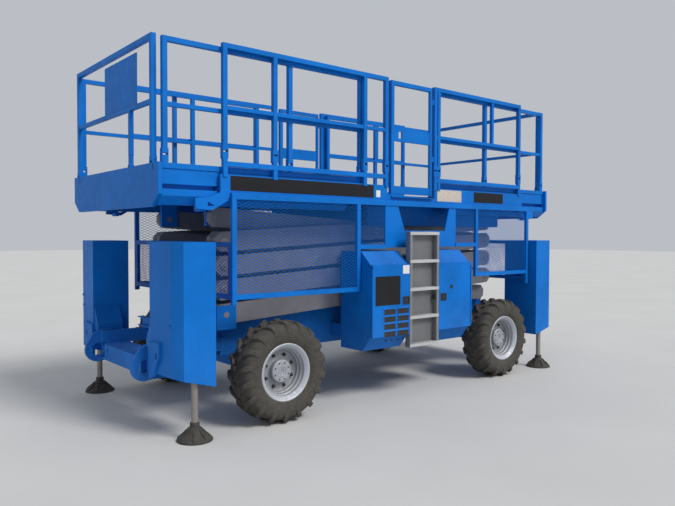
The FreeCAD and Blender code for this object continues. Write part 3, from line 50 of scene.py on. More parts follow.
# Linear colours of the finishes
BLUE = (0.0, 0.152, 0.56)
ARM_GREY = (0.21, 0.21, 0.24)
DUST = (0.30, 0.25, 0.19)
RUBBER = (0.040, 0.037, 0.033)
MUD = (0.082, 0.075, 0.063)
SILVER = (0.50, 0.53, 0.60)
ALUMINIUM = (0.33, 0.34, 0.36)
BLACK = (0.012, 0.012, 0.013)
WHITE = (0.75, 0.75, 0.72)
CHROME = (0.30, 0.29, 0.27)
# Painted shade for recesses, blended in towards the machine's middle plane
RECESS_SHADE = (0.075, 0.072, 0.070)
MESH_BLUE = (0.0, 0.13, 0.50)
LADDER_GREY = (0.235, 0.245, 0.27)
# Painted highlight: the rung treads are the ladder's alloy made lighter
RUNG_HIGHLIGHT_GREY = (0.55, 0.56, 0.57)
IRON = (0.020, 0.020, 0.021)
ZINC_GREY = (0.30, 0.30, 0.31)
FILM_BLACK = (0.010, 0.010, 0.013)
AGED_WHITE = (0.56, 0.50, 0.43)
ENGINE_GREY = (0.05, 0.05, 0.052)
DECK_DARK = (0.16, 0.165, 0.17)
DECK_LIGHT = (0.26, 0.26, 0.255)
FLOOR_DARK = (0.56, 0.555, 0.545)
FLOOR_LIGHT = (0.60, 0.595, 0.585)


class Graph:
    """A material's node tree with short names for the usual steps."""

    def __init__(self, name):
        self.material = bpy.data.materials.new(name)
        self.material.use_nodes = True
        self.tree = self.material.node_tree
        self.shader = self.tree.nodes["Principled BSDF"]
        self.place = self.add("ShaderNodeTexCoord").outputs["Object"]

    def add(self, kind, **values):
        node = self.tree.nodes.new(kind)
        for name, value in values.items():
            if name in node.inputs:
                node.inputs[name].default_value = value
            else:
                setattr(node, name, value)
        return node

    def link(self, source, target):
        self.tree.links.new(source, target)

    def noise(self, scale, detail=5.0, rough=0.6):
        node = self.add("ShaderNodeTexNoise", Scale=scale, Detail=detail, Roughness=rough)
        self.link(self.place, node.inputs["Vector"])
        return node.outputs["Fac"]

    def ramp(self, source, low, high, to_low=0.0, to_high=1.0):
        node = self.add("ShaderNodeMapRange")
        for index, value in enumerate((low, high, to_low, to_high), 1):
            node.inputs[index].default_value = value
        self.link(source, node.inputs[0])
        return node.outputs[0]

    def maths(self, operation, first, second):
        node = self.add("ShaderNodeMath", operation=operation)
        for index, value in enumerate((first, second)):
            if isinstance(value, (int, float)):
                node.inputs[index].default_value = value
            else:
                self.link(value, node.inputs[index])
        return node.outputs[0]

    def blend(self, share, first, second):
        """A colour between two colours or sockets."""
        node = self.add("ShaderNodeMix", data_type="RGBA")
        if isinstance(share, (int, float)):
            node.inputs[0].default_value = share
        else:
            self.link(share, node.inputs[0])
        for index, value in ((6, first), (7, second)):
            if isinstance(value, tuple):
                node.inputs[index].default_value = value + (1.0,)
            else:
                self.link(value, node.inputs[index])
        return node.outputs[2]

    def spot(self, axis):
        split = self.add("ShaderNodeSeparateXYZ")
        self.link(self.place, split.inputs[0])
        return split.outputs[axis]

    def upward(self):
        """1 where the surface faces up, 0 on walls."""
        geometry = self.add("ShaderNodeNewGeometry")
        split = self.add("ShaderNodeSeparateXYZ")
        self.link(geometry.outputs["Normal"], split.inputs[0])
        return self.ramp(split.outputs[2], 0.3, 0.95)

    def edges(self, radius):
        """Rounded normals, and 1 along worn edges."""
        bevel = self.add("ShaderNodeBevel", samples=4, Radius=radius)
        geometry = self.add("ShaderNodeNewGeometry")
        dot = self.add("ShaderNodeVectorMath", operation="DOT_PRODUCT")
        self.link(bevel.outputs[0], dot.inputs[0])
        self.link(geometry.outputs["Normal"], dot.inputs[1])
        return bevel.outputs[0], self.ramp(dot.outputs["Value"], 0.99, 0.85)

    def bump(self, source, strength, distance, normal=None):
        node = self.add("ShaderNodeBump", Strength=strength, Distance=distance)
        self.link(source, node.inputs["Height"])
        if normal is not None:
            self.link(normal, node.inputs["Normal"])
        self.link(node.outputs[0], self.shader.inputs["Normal"])


def finish(name, colour, rough=0.45, metallic=0.0, coat=0.0, vary=0.10, patch=2.5, dust=0.25,
           dust_top=1.2, wear=0.35, grain=900.0, grain_depth=0.0004, edge=0.004, tint=DUST,
           recess=None, gloss=0.5):
    """A weathered finish: patchy colour, dust that settles low and on top, worn edges.

    recess gives two distances from the machine's middle plane, open and deep, and the
    share of painted shade at the deep one, darkening the colour towards the middle plane as shade in
    recesses."""
    graph = Graph(name)
    dark = tuple(channel * (1 - vary) for channel in colour)
    light = tuple(min(channel * (1 + vary) + 0.01 * vary, 1.0) for channel in colour)
    body = graph.blend(graph.ramp(graph.noise(patch), 0.35, 0.65), dark, light)
    speckle = graph.ramp(graph.noise(38.0, 8.0, 0.7), 0.45, 0.75)
    low = graph.ramp(graph.spot(2), dust_top, 0.2)
    settled = graph.maths("ADD", graph.maths("MULTIPLY", low, 0.75),
                          graph.maths("MULTIPLY", graph.upward(), 0.55))
    film = graph.maths("MULTIPLY", graph.maths("ADD", speckle, 0.25), settled)
    covered = graph.maths("MINIMUM", graph.maths("MULTIPLY", film, dust * 2), 0.9)
    body = graph.blend(covered, body, tint)
    # Painted shade: the colour darkens towards the middle plane, as shade falls in recesses
    if recess:
        shallow, deep, share = recess
        recess_shade_mask = graph.ramp(graph.maths("ABSOLUTE", graph.spot(1), 0.0), shallow, deep, 0.0, share)
        body = graph.blend(recess_shade_mask, body, RECESS_SHADE)
    normal = None
    if edge:
        normal, worn = graph.edges(edge)
        chips = graph.maths("MULTIPLY", worn, graph.ramp(graph.noise(60.0, 6.0), 0.5, 0.62))
        pale = tuple(min(channel * 1.6 + 0.06, 0.9) for channel in colour)
        body = graph.blend(graph.maths("MULTIPLY", chips, wear), body, pale)
    graph.link(body, graph.shader.inputs["Base Color"])
    graph.link(graph.ramp(graph.maths("ADD", graph.noise(14.0), film), 0.2, 1.3, rough - 0.08,
                          min(rough + 0.35, 1.0)), graph.shader.inputs["Roughness"])
    graph.shader.inputs["Metallic"].default_value = metallic
    graph.shader.inputs["Specular IOR Level"].default_value = gloss
    graph.shader.inputs["Coat Weight"].default_value = coat
    graph.shader.inputs["Coat Roughness"].default_value = 0.25
    graph.bump(graph.noise(grain, 3.0), 0.35, grain_depth, normal)
    return graph.material


def tread_plate(name):
    """Raised bars in two directions on worn aluminium."""
    graph = Graph(name)
    masks = []
    for turn in (math.radians(45), math.radians(-45)):
        spin = graph.add("ShaderNodeMapping")
        spin.inputs["Rotation"].default_value = (0, 0, turn)
        spin.inputs["Scale"].default_value = (26.0, 78.0, 26.0)
        graph.link(graph.place, spin.inputs["Vector"])
        cell = graph.add("ShaderNodeTexVoronoi", Scale=1.0, Randomness=0.0)
        graph.link(spin.outputs[0], cell.inputs["Vector"])
        masks.append(graph.ramp(cell.outputs["Distance"], 0.42, 0.3))
    bars = graph.maths("MAXIMUM", masks[0], masks[1])
    base = graph.blend(graph.ramp(graph.noise(3.0), 0.3, 0.7), DECK_DARK, DECK_LIGHT)
    base = graph.blend(graph.maths("MULTIPLY", bars, 0.5), base, ALUMINIUM)
    graph.link(base, graph.shader.inputs["Base Color"])
    graph.shader.inputs["Metallic"].default_value = 0.7
    roughness = graph.ramp(graph.noise(20.0), 0.3, 0.7, 0.35, 0.6)
    graph.link(roughness, graph.shader.inputs["Roughness"])
    graph.bump(bars, 0.8, 0.002)
    return graph.material


PAINT = finish("blue_paint", BLUE, coat=0.02, dust=0.05, dust_top=1.0, gloss=0.15)
LOW_PAINT = finish("blue_paint_low", BLUE, rough=0.52, dust=0.14, dust_top=0.9, vary=0.14,
                   gloss=0.15)
MESH_PAINT = finish("mesh_paint", MESH_BLUE, rough=0.5, dust=0.06, edge=0, wear=0, gloss=0.25)
ARMS = finish("arm_paint", ARM_GREY, rough=0.5, dust=0.18, dust_top=1.4, vary=0.15, wear=0.5)
TYRE = finish("dusty_rubber", RUBBER, rough=0.85, dust=0.75, dust_top=2.4, vary=0.2, patch=9.0,
              wear=0.8, grain=260.0, grain_depth=0.0012, edge=0.008, tint=MUD)
# Silver paint, with painted shade darkening the wheel's deep barrel towards the hub plane
RIM = finish("silver_paint", SILVER, rough=0.4, metallic=0.3, dust=0.22, dust_top=0.9, vary=0.08,
             recess=(1.06, 0.98, 0.45))
# Ladder alloy, with painted shade darkening its back plate behind the rungs
ALLOY = finish("ladder_alloy", LADDER_GREY, metallic=0.4, dust=0.2, dust_top=1.6, vary=0.12,
               recess=(1.085, 1.050, 0.35))
# Real serrated rung treads, with the ladder's alloy lightened as a painted highlight
LIT_RUNG_ALLOY = finish("rung_alloy_highlight", RUNG_HIGHLIGHT_GREY, rough=0.4, metallic=0.4, dust=0.2, dust_top=1.6,
                     edge=0)
ROD = finish("leg_rod", CHROME, rough=0.38, metallic=0.5, dust_top=0.6, vary=0.12, edge=0)
FOOT = finish("foot_iron", IRON, rough=0.55, dust=0.10, dust_top=0.5, vary=0.3)
DARK = finish("black_steel", BLACK, rough=0.6, dust=0.12, dust_top=1.4, wear=0.2)
ZINC = finish("zinc_bolts", ZINC_GREY, rough=0.4, metallic=0.6, dust=0.3, vary=0.2, edge=0)
BANNER = finish("black_film", FILM_BLACK, dust=0.03, dust_top=1.0, edge=0, gloss=0.25)
LABEL = finish("white_film", WHITE, rough=0.5, dust=0.2, dust_top=2.2, vary=0.04, edge=0)
OLD_LABEL = finish("aged_film", AGED_WHITE, rough=0.6, dust_top=2.6, vary=0.12, patch=60.0, edge=0)
ENGINE = finish("engine_iron", ENGINE_GREY, rough=0.6, metallic=0.3, dust=0.2)
DECK = tread_plate("deck_plate")

NODE_FINISH = {
    "arm_": ARMS, "cylinder_barrel": ARMS, "cylinder_rod": ROD, "tyre_": TYRE, "rim_": RIM,
    "leg_": ROD, "ladder": ALLOY, "engine": ENGINE, "axle_": LOW_PAINT, "knuckle": DARK,
    "chassis": LOW_PAINT, "end_frames": LOW_PAINT, "module": LOW_PAINT, "door": LOW_PAINT,
    "stabiliser": PAINT,
}
for name, node in NODES.items():
    chosen = next((made for start, made in NODE_FINISH.items() if name.startswith(start)), PAINT)
    node.data.materials.clear()
    node.data.materials.append(chosen)


class Piece:
    """Collects simple solids, in metres in the row frame, into one mesh."""

    def __init__(self):
        self.mesh = bmesh.new()

    def solid(self, points, faces):
        verts = [self.mesh.verts.new(point) for point in points]
        for face in faces:
            self.mesh.faces.new([verts[index] for index in face])

    def box(self, x, y, z):
        points = [(a, b, c) for a in x for b in y for c in z]
        self.solid(points, ((0, 1, 3, 2), (4, 6, 7, 5), (0, 4, 5, 1), (2, 3, 7, 6), (0, 2, 6, 4),
                            (1, 5, 7, 3)))

    def prism(self, corners, axis, low, high):
        """A flat outline given in the two other axes, in order, stretched along an axis."""
        def place(corner, along):
            spot = list(corner)
            spot.insert(axis, along)
            return spot
        count = len(corners)
        points = [place(corner, along) for along in (low, high) for corner in corners]
        faces = [tuple(range(count)), tuple(range(2 * count - 1, count - 1, -1))]
        faces += [(i, i + count, (i + 1) % count + count, (i + 1) % count) for i in range(count)]
        self.solid(points, faces)

    def lathe(self, profile, centre, axis, sides=48, flip=1):
        """Turn (radius, along) corners about an axis through centre; flip turns it round."""
        rings = []
        for radius, along in profile:
            ring = []
            for step in range(sides):
                angle = 2 * math.pi * step / sides
                spot = [radius * math.cos(angle), radius * math.sin(angle)]
                spot.insert(axis, along * flip)
                ring.append(self.mesh.verts.new(Vector(centre) + Vector(spot)))
            rings.append(ring)
        for first, second in zip(rings, rings[1:]):
            for step in range(sides):
                after = (step + 1) % sides
                self.mesh.faces.new((first[step], first[after], second[after], second[step]))
        if profile[0] != profile[-1]:
            for ring in (rings[0], rings[-1]):
                self.mesh.faces.new(ring)

    def tube(self, path, radius, sides=10):
        """A round bar along straight runs."""
        spots = [Vector(point) for point in path]
        rings = []
        for index, spot in enumerate(spots):
            before = spots[max(index - 1, 0)]
            after = spots[min(index + 1, len(spots) - 1)]
            along = (after - before).normalized()
            side = along.orthogonal().normalized() if not rings else (
                rings[-1][1] - along * rings[-1][1].dot(along)).normalized()
            other = along.cross(side)
            ring = []
            for step in range(sides):
                angle = 2 * math.pi * step / sides
                ring.append(self.mesh.verts.new(
                    spot + radius * (side * math.cos(angle) + other * math.sin(angle))))
            rings.append((ring, side))
        for (first, _), (second, _) in zip(rings, rings[1:]):
            for step in range(sides):
                after = (step + 1) % sides
                self.mesh.faces.new((first[step], first[after], second[after], second[step]))
        self.mesh.faces.new(rings[0][0])
        self.mesh.faces.new(rings[-1][0])

    def make(self, name, body, material, bevel=0.0, smooth=False, replaces=()):
        bmesh.ops.recalc_face_normals(self.mesh, faces=self.mesh.faces)
        data = bpy.data.meshes.new(name)
        self.mesh.to_mesh(data)
        self.mesh.free()
        item = bpy.data.objects.new(name, data)
        bpy.context.scene.collection.objects.link(item)
        data.materials.append(material)
        if smooth:
            data.shade_smooth()
            data.set_sharp_from_angle(angle=math.radians(35))
        if bevel:
            soft = item.modifiers.new("edges", "BEVEL")
            soft.width = bevel
            soft.segments = 2
        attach(item, body)
        if replaces:
            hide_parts(*replaces)
        return item


# Expanded mesh: diamonds of this size, strands this wide and thick
DIAMOND_LONG = 0.060
DIAMOND_SHORT = 0.026
STRAND = 0.0034
STRAND_DEPTH = 0.0024


def expanded_mesh(piece, place, across, up):
    """Strands of a window; place turns (across, up, depth) into the row frame."""
    columns = round((across[1] - across[0]) / DIAMOND_LONG * 2)
    rows = round((up[1] - up[0]) / DIAMOND_SHORT * 2)
    wide = (across[1] - across[0]) / columns
    tall = (up[1] - up[0]) / rows
    slope = Vector((wide, tall)).normalized()
    for column in range(columns):
        for row in range(rows):
            rising = (column + row) % 2 == 0
            left, right = across[0] + column * wide, across[0] + (column + 1) * wide
            low, high = up[0] + row * tall, up[0] + (row + 1) * tall
            start = (left, low if rising else high)
            end = (right, high if rising else low)
            sign = 1 if rising else -1
            off = Vector((-slope.y * sign, slope.x)) * STRAND / 2
            points = []
            for depth in (-STRAND_DEPTH / 2, STRAND_DEPTH / 2):
                for spot, turn in ((start, 1), (end, 1), (end, -1), (start, -1)):
                    points.append(place(spot[0] + off.x * turn, spot[1] + off.y * turn, depth))
            piece.solid(points, ((0, 1, 2, 3), (7, 6, 5, 4), (0, 4, 5, 1), (2, 6, 7, 3)))


# Openings in the side guards: x low, x high, z low, z high
GUARD_WINDOWS = (
    (-1.805, -0.57, 1.05, 1.79),
    (-0.53, -0.22, 1.43, 1.79),
    (0.766, 1.08, 1.44, 1.79),
    (1.12, 1.98, 1.125, 1.79),
)
GUARD_Y = 0.940
# End guards: middle of their thickness; their opening: half width, z low, z high
END_GUARD_X = (-1.83, 2.005)
END_WINDOW = (0.885, 1.05, 1.42)


def make_guard_mesh():
    for side in SIDES:
        piece = Piece()
        for low_x, high_x, low_z, high_z in GUARD_WINDOWS:
            expanded_mesh(piece, lambda a, u, d: (a, side * (GUARD_Y + d), u),
                          (low_x, high_x), (low_z, high_z))
        name = SIDE_NAME[side]
        piece.make("expanded_mesh_" + name, "platform", MESH_PAINT,
                   replaces=["mesh_" + name])
    piece = Piece()
    for x in END_GUARD_X:
        expanded_mesh(piece, lambda a, u, d: (x + d, a, u), (-END_WINDOW[0], END_WINDOW[0]),
                      END_WINDOW[1:])
    piece.make("expanded_mesh_ends", "platform", MESH_PAINT, replaces=["mesh_ends"])


HUB_X = 1.42
HUB_Y = 0.95
HUB_Z = 0.415
# Tyre section, outer half: radius, distance from the middle
TYRE_HALF = (
    (0.394, 0.0), (0.393, 0.050), (0.388, 0.090), (0.378, 0.114), (0.361, 0.130), (0.336, 0.140),
    (0.302, 0.1445), (0.270, 0.140), (0.246, 0.129), (0.2225, 0.110),
)
LUGS = 18
# One lug: distance from the middle, advance round the tyre in degrees, inner and outer radius,
# half width
LUG_STATIONS = (
    (0.004, 11.0, 0.376, 0.4140, 0.017),
    (0.030, 11.0, 0.376, 0.4145, 0.019),
    (0.058, 4.0, 0.372, 0.4145, 0.021),
    (0.086, 1.5, 0.368, 0.4135, 0.023),
    (0.112, 0.0, 0.355, 0.4070, 0.025),
    (0.132, -1.5, 0.335, 0.3900, 0.025),
    (0.1447, -2.0, 0.312, 0.3560, 0.021),
)
# A lug's half width at its foot and crown, as shares, and the radius that it is measured at
LUG_FOOT = 1.2
LUG_CROWN = 0.86
LUG_RADIUS = 0.4


def lug(piece, centre, angle, hand):
    """One tread bar from the tyre's middle over its shoulder, at an angle round the tyre."""
    rings = []
    for along, advance, low, high, half in LUG_STATIONS:
        ring = []
        for radius, shift, shrink in (
                (low, -1, LUG_FOOT), (high, -1, LUG_CROWN), (high, 1, LUG_CROWN), (low, 1, LUG_FOOT)):
            turn = math.radians(angle + advance) + shift * half * shrink / LUG_RADIUS
            ring.append(piece.mesh.verts.new(Vector(centre) + Vector(
                (radius * math.cos(turn), along * hand, radius * math.sin(turn)))))
        rings.append(ring)
    for first, second in zip(rings, rings[1:]):
        for step in range(4):
            after = (step + 1) % 4
            piece.mesh.faces.new((first[step], first[after], second[after], second[step]))
    for ring in (rings[0], rings[-1]):
        piece.mesh.faces.new(ring)


# Wheel from its hub cap out to the flange and back inside: radius, distance from the hub plane
RIM_SECTION = (
    (0.001, 0.050), (0.018, 0.050), (0.021, 0.055), (0.034, 0.055), (0.038, 0.060), (0.050, 0.060),
    (0.052, 0.058), (0.056, 0.058), (0.058, 0.060), (0.084, 0.060), (0.092, 0.053), (0.094, 0.018),
    (0.102, 0.010), (0.152, 0.004), (0.166, 0.010), (0.171, 0.032), (0.181, 0.038), (0.184, 0.064),
    (0.192, 0.070), (0.196, 0.098), (0.206, 0.106), (0.214, 0.118), (0.229, 0.125), (0.2345, 0.122),
    (0.2345, 0.116), (0.222, 0.111), (0.219, -0.112), (0.2345, -0.125), (0.229, -0.125),
    (0.208, -0.112), (0.204, -0.010), (0.150, -0.008), (0.001, -0.004),
)
WHEEL_NUTS = 8
NUT_RADIUS = 0.134
CAP_BOLT_RADIUS = 0.070
WHEEL_NUT = (
    (0.015, 0.004), (0.015, 0.010), (0.011, 0.012), (0.011, 0.026), (0.006, 0.030), (0.001, 0.030),
)
CAP_BOLT = ((0.0060, 0.059), (0.0060, 0.064), (0.0040, 0.0655), (0.0005, 0.0655))


def make_wheels():
    for end, x in (("left", -HUB_X), ("right", HUB_X)):
        for side in SIDES:
            tail = "%s_%s" % (end, SIDE_NAME[side])
            centre = (x, side * HUB_Y, HUB_Z)
            body = "wheel_" + tail
            tyre = Piece()
            other = tuple((radius, -along) for radius, along in TYRE_HALF)
            tyre.lathe(other[::-1] + TYRE_HALF[1:] + other[-1:], centre, 1, 84)
            for index in range(LUGS):
                angle = 360 * index / LUGS
                lug(tyre, centre, angle, 1)
                lug(tyre, centre, angle + 180 / LUGS, -1)
            tyre.make("tyre_tread_" + tail, body, TYRE, bevel=0.0025, smooth=True,
                      replaces=["tyre_" + tail])
            rim = Piece()
            rim.lathe(RIM_SECTION, centre, 1, 64, side)
            rim.make("wheel_disc_" + tail, body, RIM, smooth=True, replaces=["rim_" + tail])
            bolts = Piece()
            for index in range(WHEEL_NUTS):
                angle = math.radians(360 / WHEEL_NUTS * (index + 0.5))
                turn = Vector((math.cos(angle), 0, math.sin(angle)))
                bolts.lathe(WHEEL_NUT, Vector(centre) + NUT_RADIUS * turn, 1, 6, side)
                bolts.lathe(CAP_BOLT, Vector(centre) + CAP_BOLT_RADIUS * turn, 1, 6, side)
            bolts.make("wheel_nuts_" + tail, body, DARK)


FILM = 0.0012
DOOR_FACE = 1.1


def film(name, body, y, x, z, material):
    """A thin blank sheet stuck on a face that looks along Y."""
    piece = Piece()
    out = FILM if y > 0 else -FILM
    piece.box(x, sorted((y, y + out)), z)
    piece.make(name, body, material, bevel=0.0004)


def make_films():
    """Thin blank sheets on the platform's side and on a door."""
    beam_y = -0.925
    film("side_banner", "platform", beam_y, (-1.844, -0.347), (1.858, 1.972), BANNER)
    film("side_tag", "platform", beam_y, (-0.316, -0.266), (1.866, 1.928), LABEL)
    film("side_notice", "platform", beam_y, (0.511, 0.878), (1.855, 1.972), OLD_LABEL)
    film("side_sticker", "platform", beam_y, (1.079, 1.577), (1.862, 1.970), BANNER)
    film("door_sticker", "door_near_left", -DOOR_FACE, (-0.482, -0.172), (0.884, 1.146), BANNER)
    film("door_tag", "door_near_left", -DOOR_FACE, (-0.140, -0.056), (1.162, 1.240), LABEL)


LATCH_HALF = 0.040


def latch(name, body, x, z, face):
    """A flush paddle latch in a raised frame."""
    out = 1 if face > 0 else -1
    frame_piece = Piece()
    for across, up in (((x - LATCH_HALF, x + LATCH_HALF), (z + 0.028, z + 0.036)),
                       ((x - LATCH_HALF, x + LATCH_HALF), (z - 0.036, z - 0.028)),
                       ((x - LATCH_HALF, x - 0.032), (z - 0.028, z + 0.028)),
                       ((x + 0.032, x + LATCH_HALF), (z - 0.028, z + 0.028))):
        frame_piece.box(across, sorted((face, face + out * 0.005)), up)
    back = sorted((face, face + out * 0.0008))
    frame_piece.box((x - 0.032, x + 0.032), back, (z - 0.028, z + 0.028))
    paddle = [(x - 0.024, 0.0008), (x + 0.024, 0.0008), (x + 0.020, 0.0060), (x - 0.024, 0.0030)]
    frame_piece.prism([(a, face + out * b) for a, b in paddle], 2, z - 0.024, z + 0.020)
    frame_piece.make(name, body, DARK, bevel=0.0008)


# Louvres of the near left door: columns, rows, half width, half height
LOUVRE_X = (-0.304, -0.136)
LOUVRE_Z = (0.826, 0.759, 0.692, 0.624)
LOUVRE_HALF = (0.069, 0.027)
DOOR_EYE = ((0.020, 0.0), (0.020, 0.002), (0.013, 0.003), (0.012, 0.0004), (0.001, 0.0004))
SCREW_HEAD = ((0.009, 0.0), (0.009, 0.005), (0.005, 0.007), (0.001, 0.007))


def make_door_details():
    # Painted shade: a dark sheet and dark slats fill the louvre openings in place of the shaded
    # interior
    slot_shade = Piece()
    hoods = Piece()
    for x in LOUVRE_X:
        for z in LOUVRE_Z:
            wide = (x - LOUVRE_HALF[0], x + LOUVRE_HALF[0])
            slot_shade.box(wide, (-1.1010, -1.0995), (z - LOUVRE_HALF[1], z + LOUVRE_HALF[1]))
            for step in (-0.012, 0.006):
                slot_shade.box((wide[0] + 0.006, wide[1] - 0.006), (-1.1026, -1.1010),
                          (z + step, z + step + 0.005))
            top = z + LOUVRE_HALF[1]
            hoods.prism([(-1.0995, top + 0.006), (-1.1065, top - 0.004), (-1.1050, top - 0.007),
                         (-1.0995, top - 0.001)], 0, wide[0] - 0.004, wide[1] + 0.004)
            for edge in (wide[0] - 0.004, wide[1]):
                hoods.box((edge, edge + 0.004), (-1.1035, -1.0995), (z - LOUVRE_HALF[1], top))
    slot_shade.make("louvre_slot_shade", "door_near_left", DARK)
    hoods.make("louvre_hoods", "door_near_left", LOW_PAINT, bevel=0.0008)
    latch("latch_near_left", "door_near_left", -0.098, 0.916, -DOOR_FACE)
    latch("latch_near_right", "door_near_right", 0.416, 0.918, -DOOR_FACE)
    latch("latch_far", "door_far", 0.046, 0.918, DOOR_FACE)
    eye = Piece()
    eye.lathe(DOOR_EYE, (0.532, -DOOR_FACE, 1.012), 1, 20, -1)
    eye.make("door_eye", "door_near_right", DARK, smooth=True)
    screws = Piece()
    for x in (-0.300, -0.228, -0.156, -0.084):
        screws.lathe(SCREW_HEAD, (x, -1.048, 0.5525), 1, 6, -1)
    screws.make("module_screws", "chassis", DARK)


# Ladder: bottom, rungs, pitch, tread height; teeth along a rung
RUNGS = (0.47, 5, 0.262, 0.028)
TEETH = 13
TOOTH = ((0.0075, -0.001), (0.0070, 0.0020), (0.0050, 0.0032), (0.0035, 0.0012), (0.0005, 0.0010))


def make_rung_treads():
    piece = Piece()
    bottom, count, pitch, tall = RUNGS
    for rung in range(count):
        top = bottom + rung * pitch + tall
        for row, y in enumerate((-1.088, -1.070, -1.052)):
            for tooth in range(TEETH - row % 2):
                x = -0.003 + (tooth + 0.5 * (row % 2)) * 0.0258
                piece.lathe(TOOTH, (x, y, top), 2, 8)
    for rung in range(count):
        low = bottom + rung * pitch
        lip = (low + 0.001, low + tall + 0.0005)
        piece.box((-0.0445, 0.3495), (-1.1022, -1.0995), lip)
    piece.make("rung_teeth", "chassis", LIT_RUNG_ALLOY, bevel=0.0005)
    clip = Piece()
    clip.box((0.300, 0.322), (-1.096, -1.062), (0.900, 0.946))
    clip.box((0.294, 0.300), (-1.088, -1.070), (0.908, 0.938))
    clip.make("ladder_clip", "chassis", DARK, bevel=0.002)


LEG_X = 2.185
LEG_Y = 0.989
# Foot seen from the side: radius, height
FOOT_SECTION = (
    (0.001, 0.0), (0.132, 0.0), (0.134, 0.004), (0.132, 0.013), (0.118, 0.024), (0.094, 0.042),
    (0.072, 0.060), (0.060, 0.078), (0.056, 0.090), (0.044, 0.098), (0.036, 0.102), (0.036, 0.128),
    (0.033, 0.134), (0.0255, 0.136),
)
FOOT_RIBS = 8
# Rib of a foot along its top and along its root: radius, height
RIB_TOP = (
    (0.052, 0.086), (0.064, 0.084), (0.080, 0.066), (0.104, 0.047), (0.125, 0.028), (0.128, 0.014),
)
RIB_ROOT = (
    (0.052, 0.060), (0.064, 0.050), (0.080, 0.036), (0.104, 0.024), (0.125, 0.010), (0.128, 0.008),
)
LEG_ROD = ((0.001, 0.090), (0.025, 0.090), (0.025, 0.956), (0.022, 0.960), (0.001, 0.960))


def foot_rib(piece, centre, turn):
    """A web from the foot's neck to its rim, standing on the dome."""
    along = Vector((math.cos(turn), math.sin(turn), 0))
    across = Vector((-math.sin(turn), math.cos(turn), 0)) * 0.005
    rings = []
    for high, low in zip(RIB_TOP, RIB_ROOT):
        ring = []
        for (radius, z), side in ((high, 0.7), (high, -0.7), (low, -1.4), (low, 1.4)):
            spot = Vector(centre) + along * radius + Vector((0, 0, z)) + across * side
            ring.append(piece.mesh.verts.new(spot))
        rings.append(ring)
    for first, second in zip(rings, rings[1:]):
        for step in range(4):
            after = (step + 1) % 4
            piece.mesh.faces.new((first[step], first[after], second[after], second[step]))
    for ring in (rings[0], rings[-1]):
        piece.mesh.faces.new(ring)


def make_legs():
    for end, x in (("left", -LEG_X), ("right", LEG_X)):
        for side in SIDES:
            tail = "%s_%s" % (end, SIDE_NAME[side])
            centre = (x, side * LEG_Y, 0.0)
            rod = Piece()
            rod.lathe(LEG_ROD, centre, 2, 40)
            rod.make("leg_rod_" + tail, "leg_" + tail, ROD, smooth=True,
                     replaces=["leg_" + tail])
            foot = Piece()
            foot.lathe(FOOT_SECTION, centre, 2, 48)
            for rib in range(FOOT_RIBS):
                foot_rib(foot, centre, 2 * math.pi * (rib + 0.3) / FOOT_RIBS)
            foot.make("leg_foot_" + tail, "leg_" + tail, FOOT, smooth=True)


# Scissor: fixed and sliding pins, lowest pins, rise of a level, outer face of the outer arms
PIN_X = (-1.72, -0.0229, 1.674)
PIN_Z = 0.86
LEVEL_RISE = 0.2
ARM_FACE = 0.612
# Pin cover: radius, height above the arm
PIN_COVER = (
    (0.037, 0.0), (0.037, 0.005), (0.033, 0.008), (0.020, 0.008), (0.020, 0.006), (0.001, 0.006),
)
BOLT_HEAD = ((0.012, 0.004), (0.012, 0.013), (0.009, 0.015), (0.001, 0.015))
CYLINDER_BOSS = (-0.756, 1.288)


def make_pin_covers():
    """Plates with a bolt on the pins' ends."""
    for level in range(4):
        piece = Piece()
        low = PIN_Z + LEVEL_RISE * level
        spots = [(PIN_X[1], low + LEVEL_RISE / 2)]
        if level > 0:
            spots.append((PIN_X[0], low))
        if level < 3:
            spots.append((PIN_X[2], low + LEVEL_RISE))
        if level == 2:
            spots.append(CYLINDER_BOSS)
        for side in SIDES:
            for x, z in spots:
                centre = (x, side * ARM_FACE, z)
                piece.lathe(PIN_COVER, centre, 1, 28, side)
                piece.lathe(BOLT_HEAD, centre, 1, 6, side)
        piece.make("pin_covers_%d" % (level + 1), "arm_outer_%d" % (level + 1), ZINC,
                   smooth=True)


def make_deck_sheets():
    """Tread plate on the main floor and on the extension floors."""
    piece = Piece()
    piece.box((-1.925, 1.925), (-0.896, 0.896), (1.8801, 1.8804))
    piece.make("tread_sheet_main", "platform", DECK)
    for end, x in (("left", (-2.398, -0.432)), ("right", (0.502, 2.398))):
        piece = Piece()
        piece.box(x, (-0.866, 0.866), (1.9021, 1.9036))
        piece.make("tread_sheet_" + end, "extension_" + end, DECK, bevel=0.0005)


END_BOLT = ((0.011, 0.0), (0.011, 0.007), (0.008, 0.009), (0.001, 0.009))


def make_end_details():
    """Bolts on the end beams and covers, and the bracket inside the near left cover."""
    bolts = Piece()
    for end in (-1, 1):
        for side in SIDES:
            for y, z in ((0.935 * side, 0.950), (0.925 * side, 0.856)):
                bolts.lathe(END_BOLT, (end * 2.3505, y, z), 0, 6, end)
            bolts.lathe(END_BOLT, (end * 2.350, 0.33 * side, 0.505), 0, 6, end)
    bolts.make("end_bolts", "chassis", LOW_PAINT)
    bracket = Piece()
    for z in (0.795, 0.860):
        bracket.box((-2.345, -2.308), (-0.624, -0.330), (z, z + 0.008))
    bracket.box((-2.308, -2.300), (-0.624, -0.330), (0.795, 0.868))
    bracket.make("cover_bracket", "chassis", LOW_PAINT, bevel=0.001)


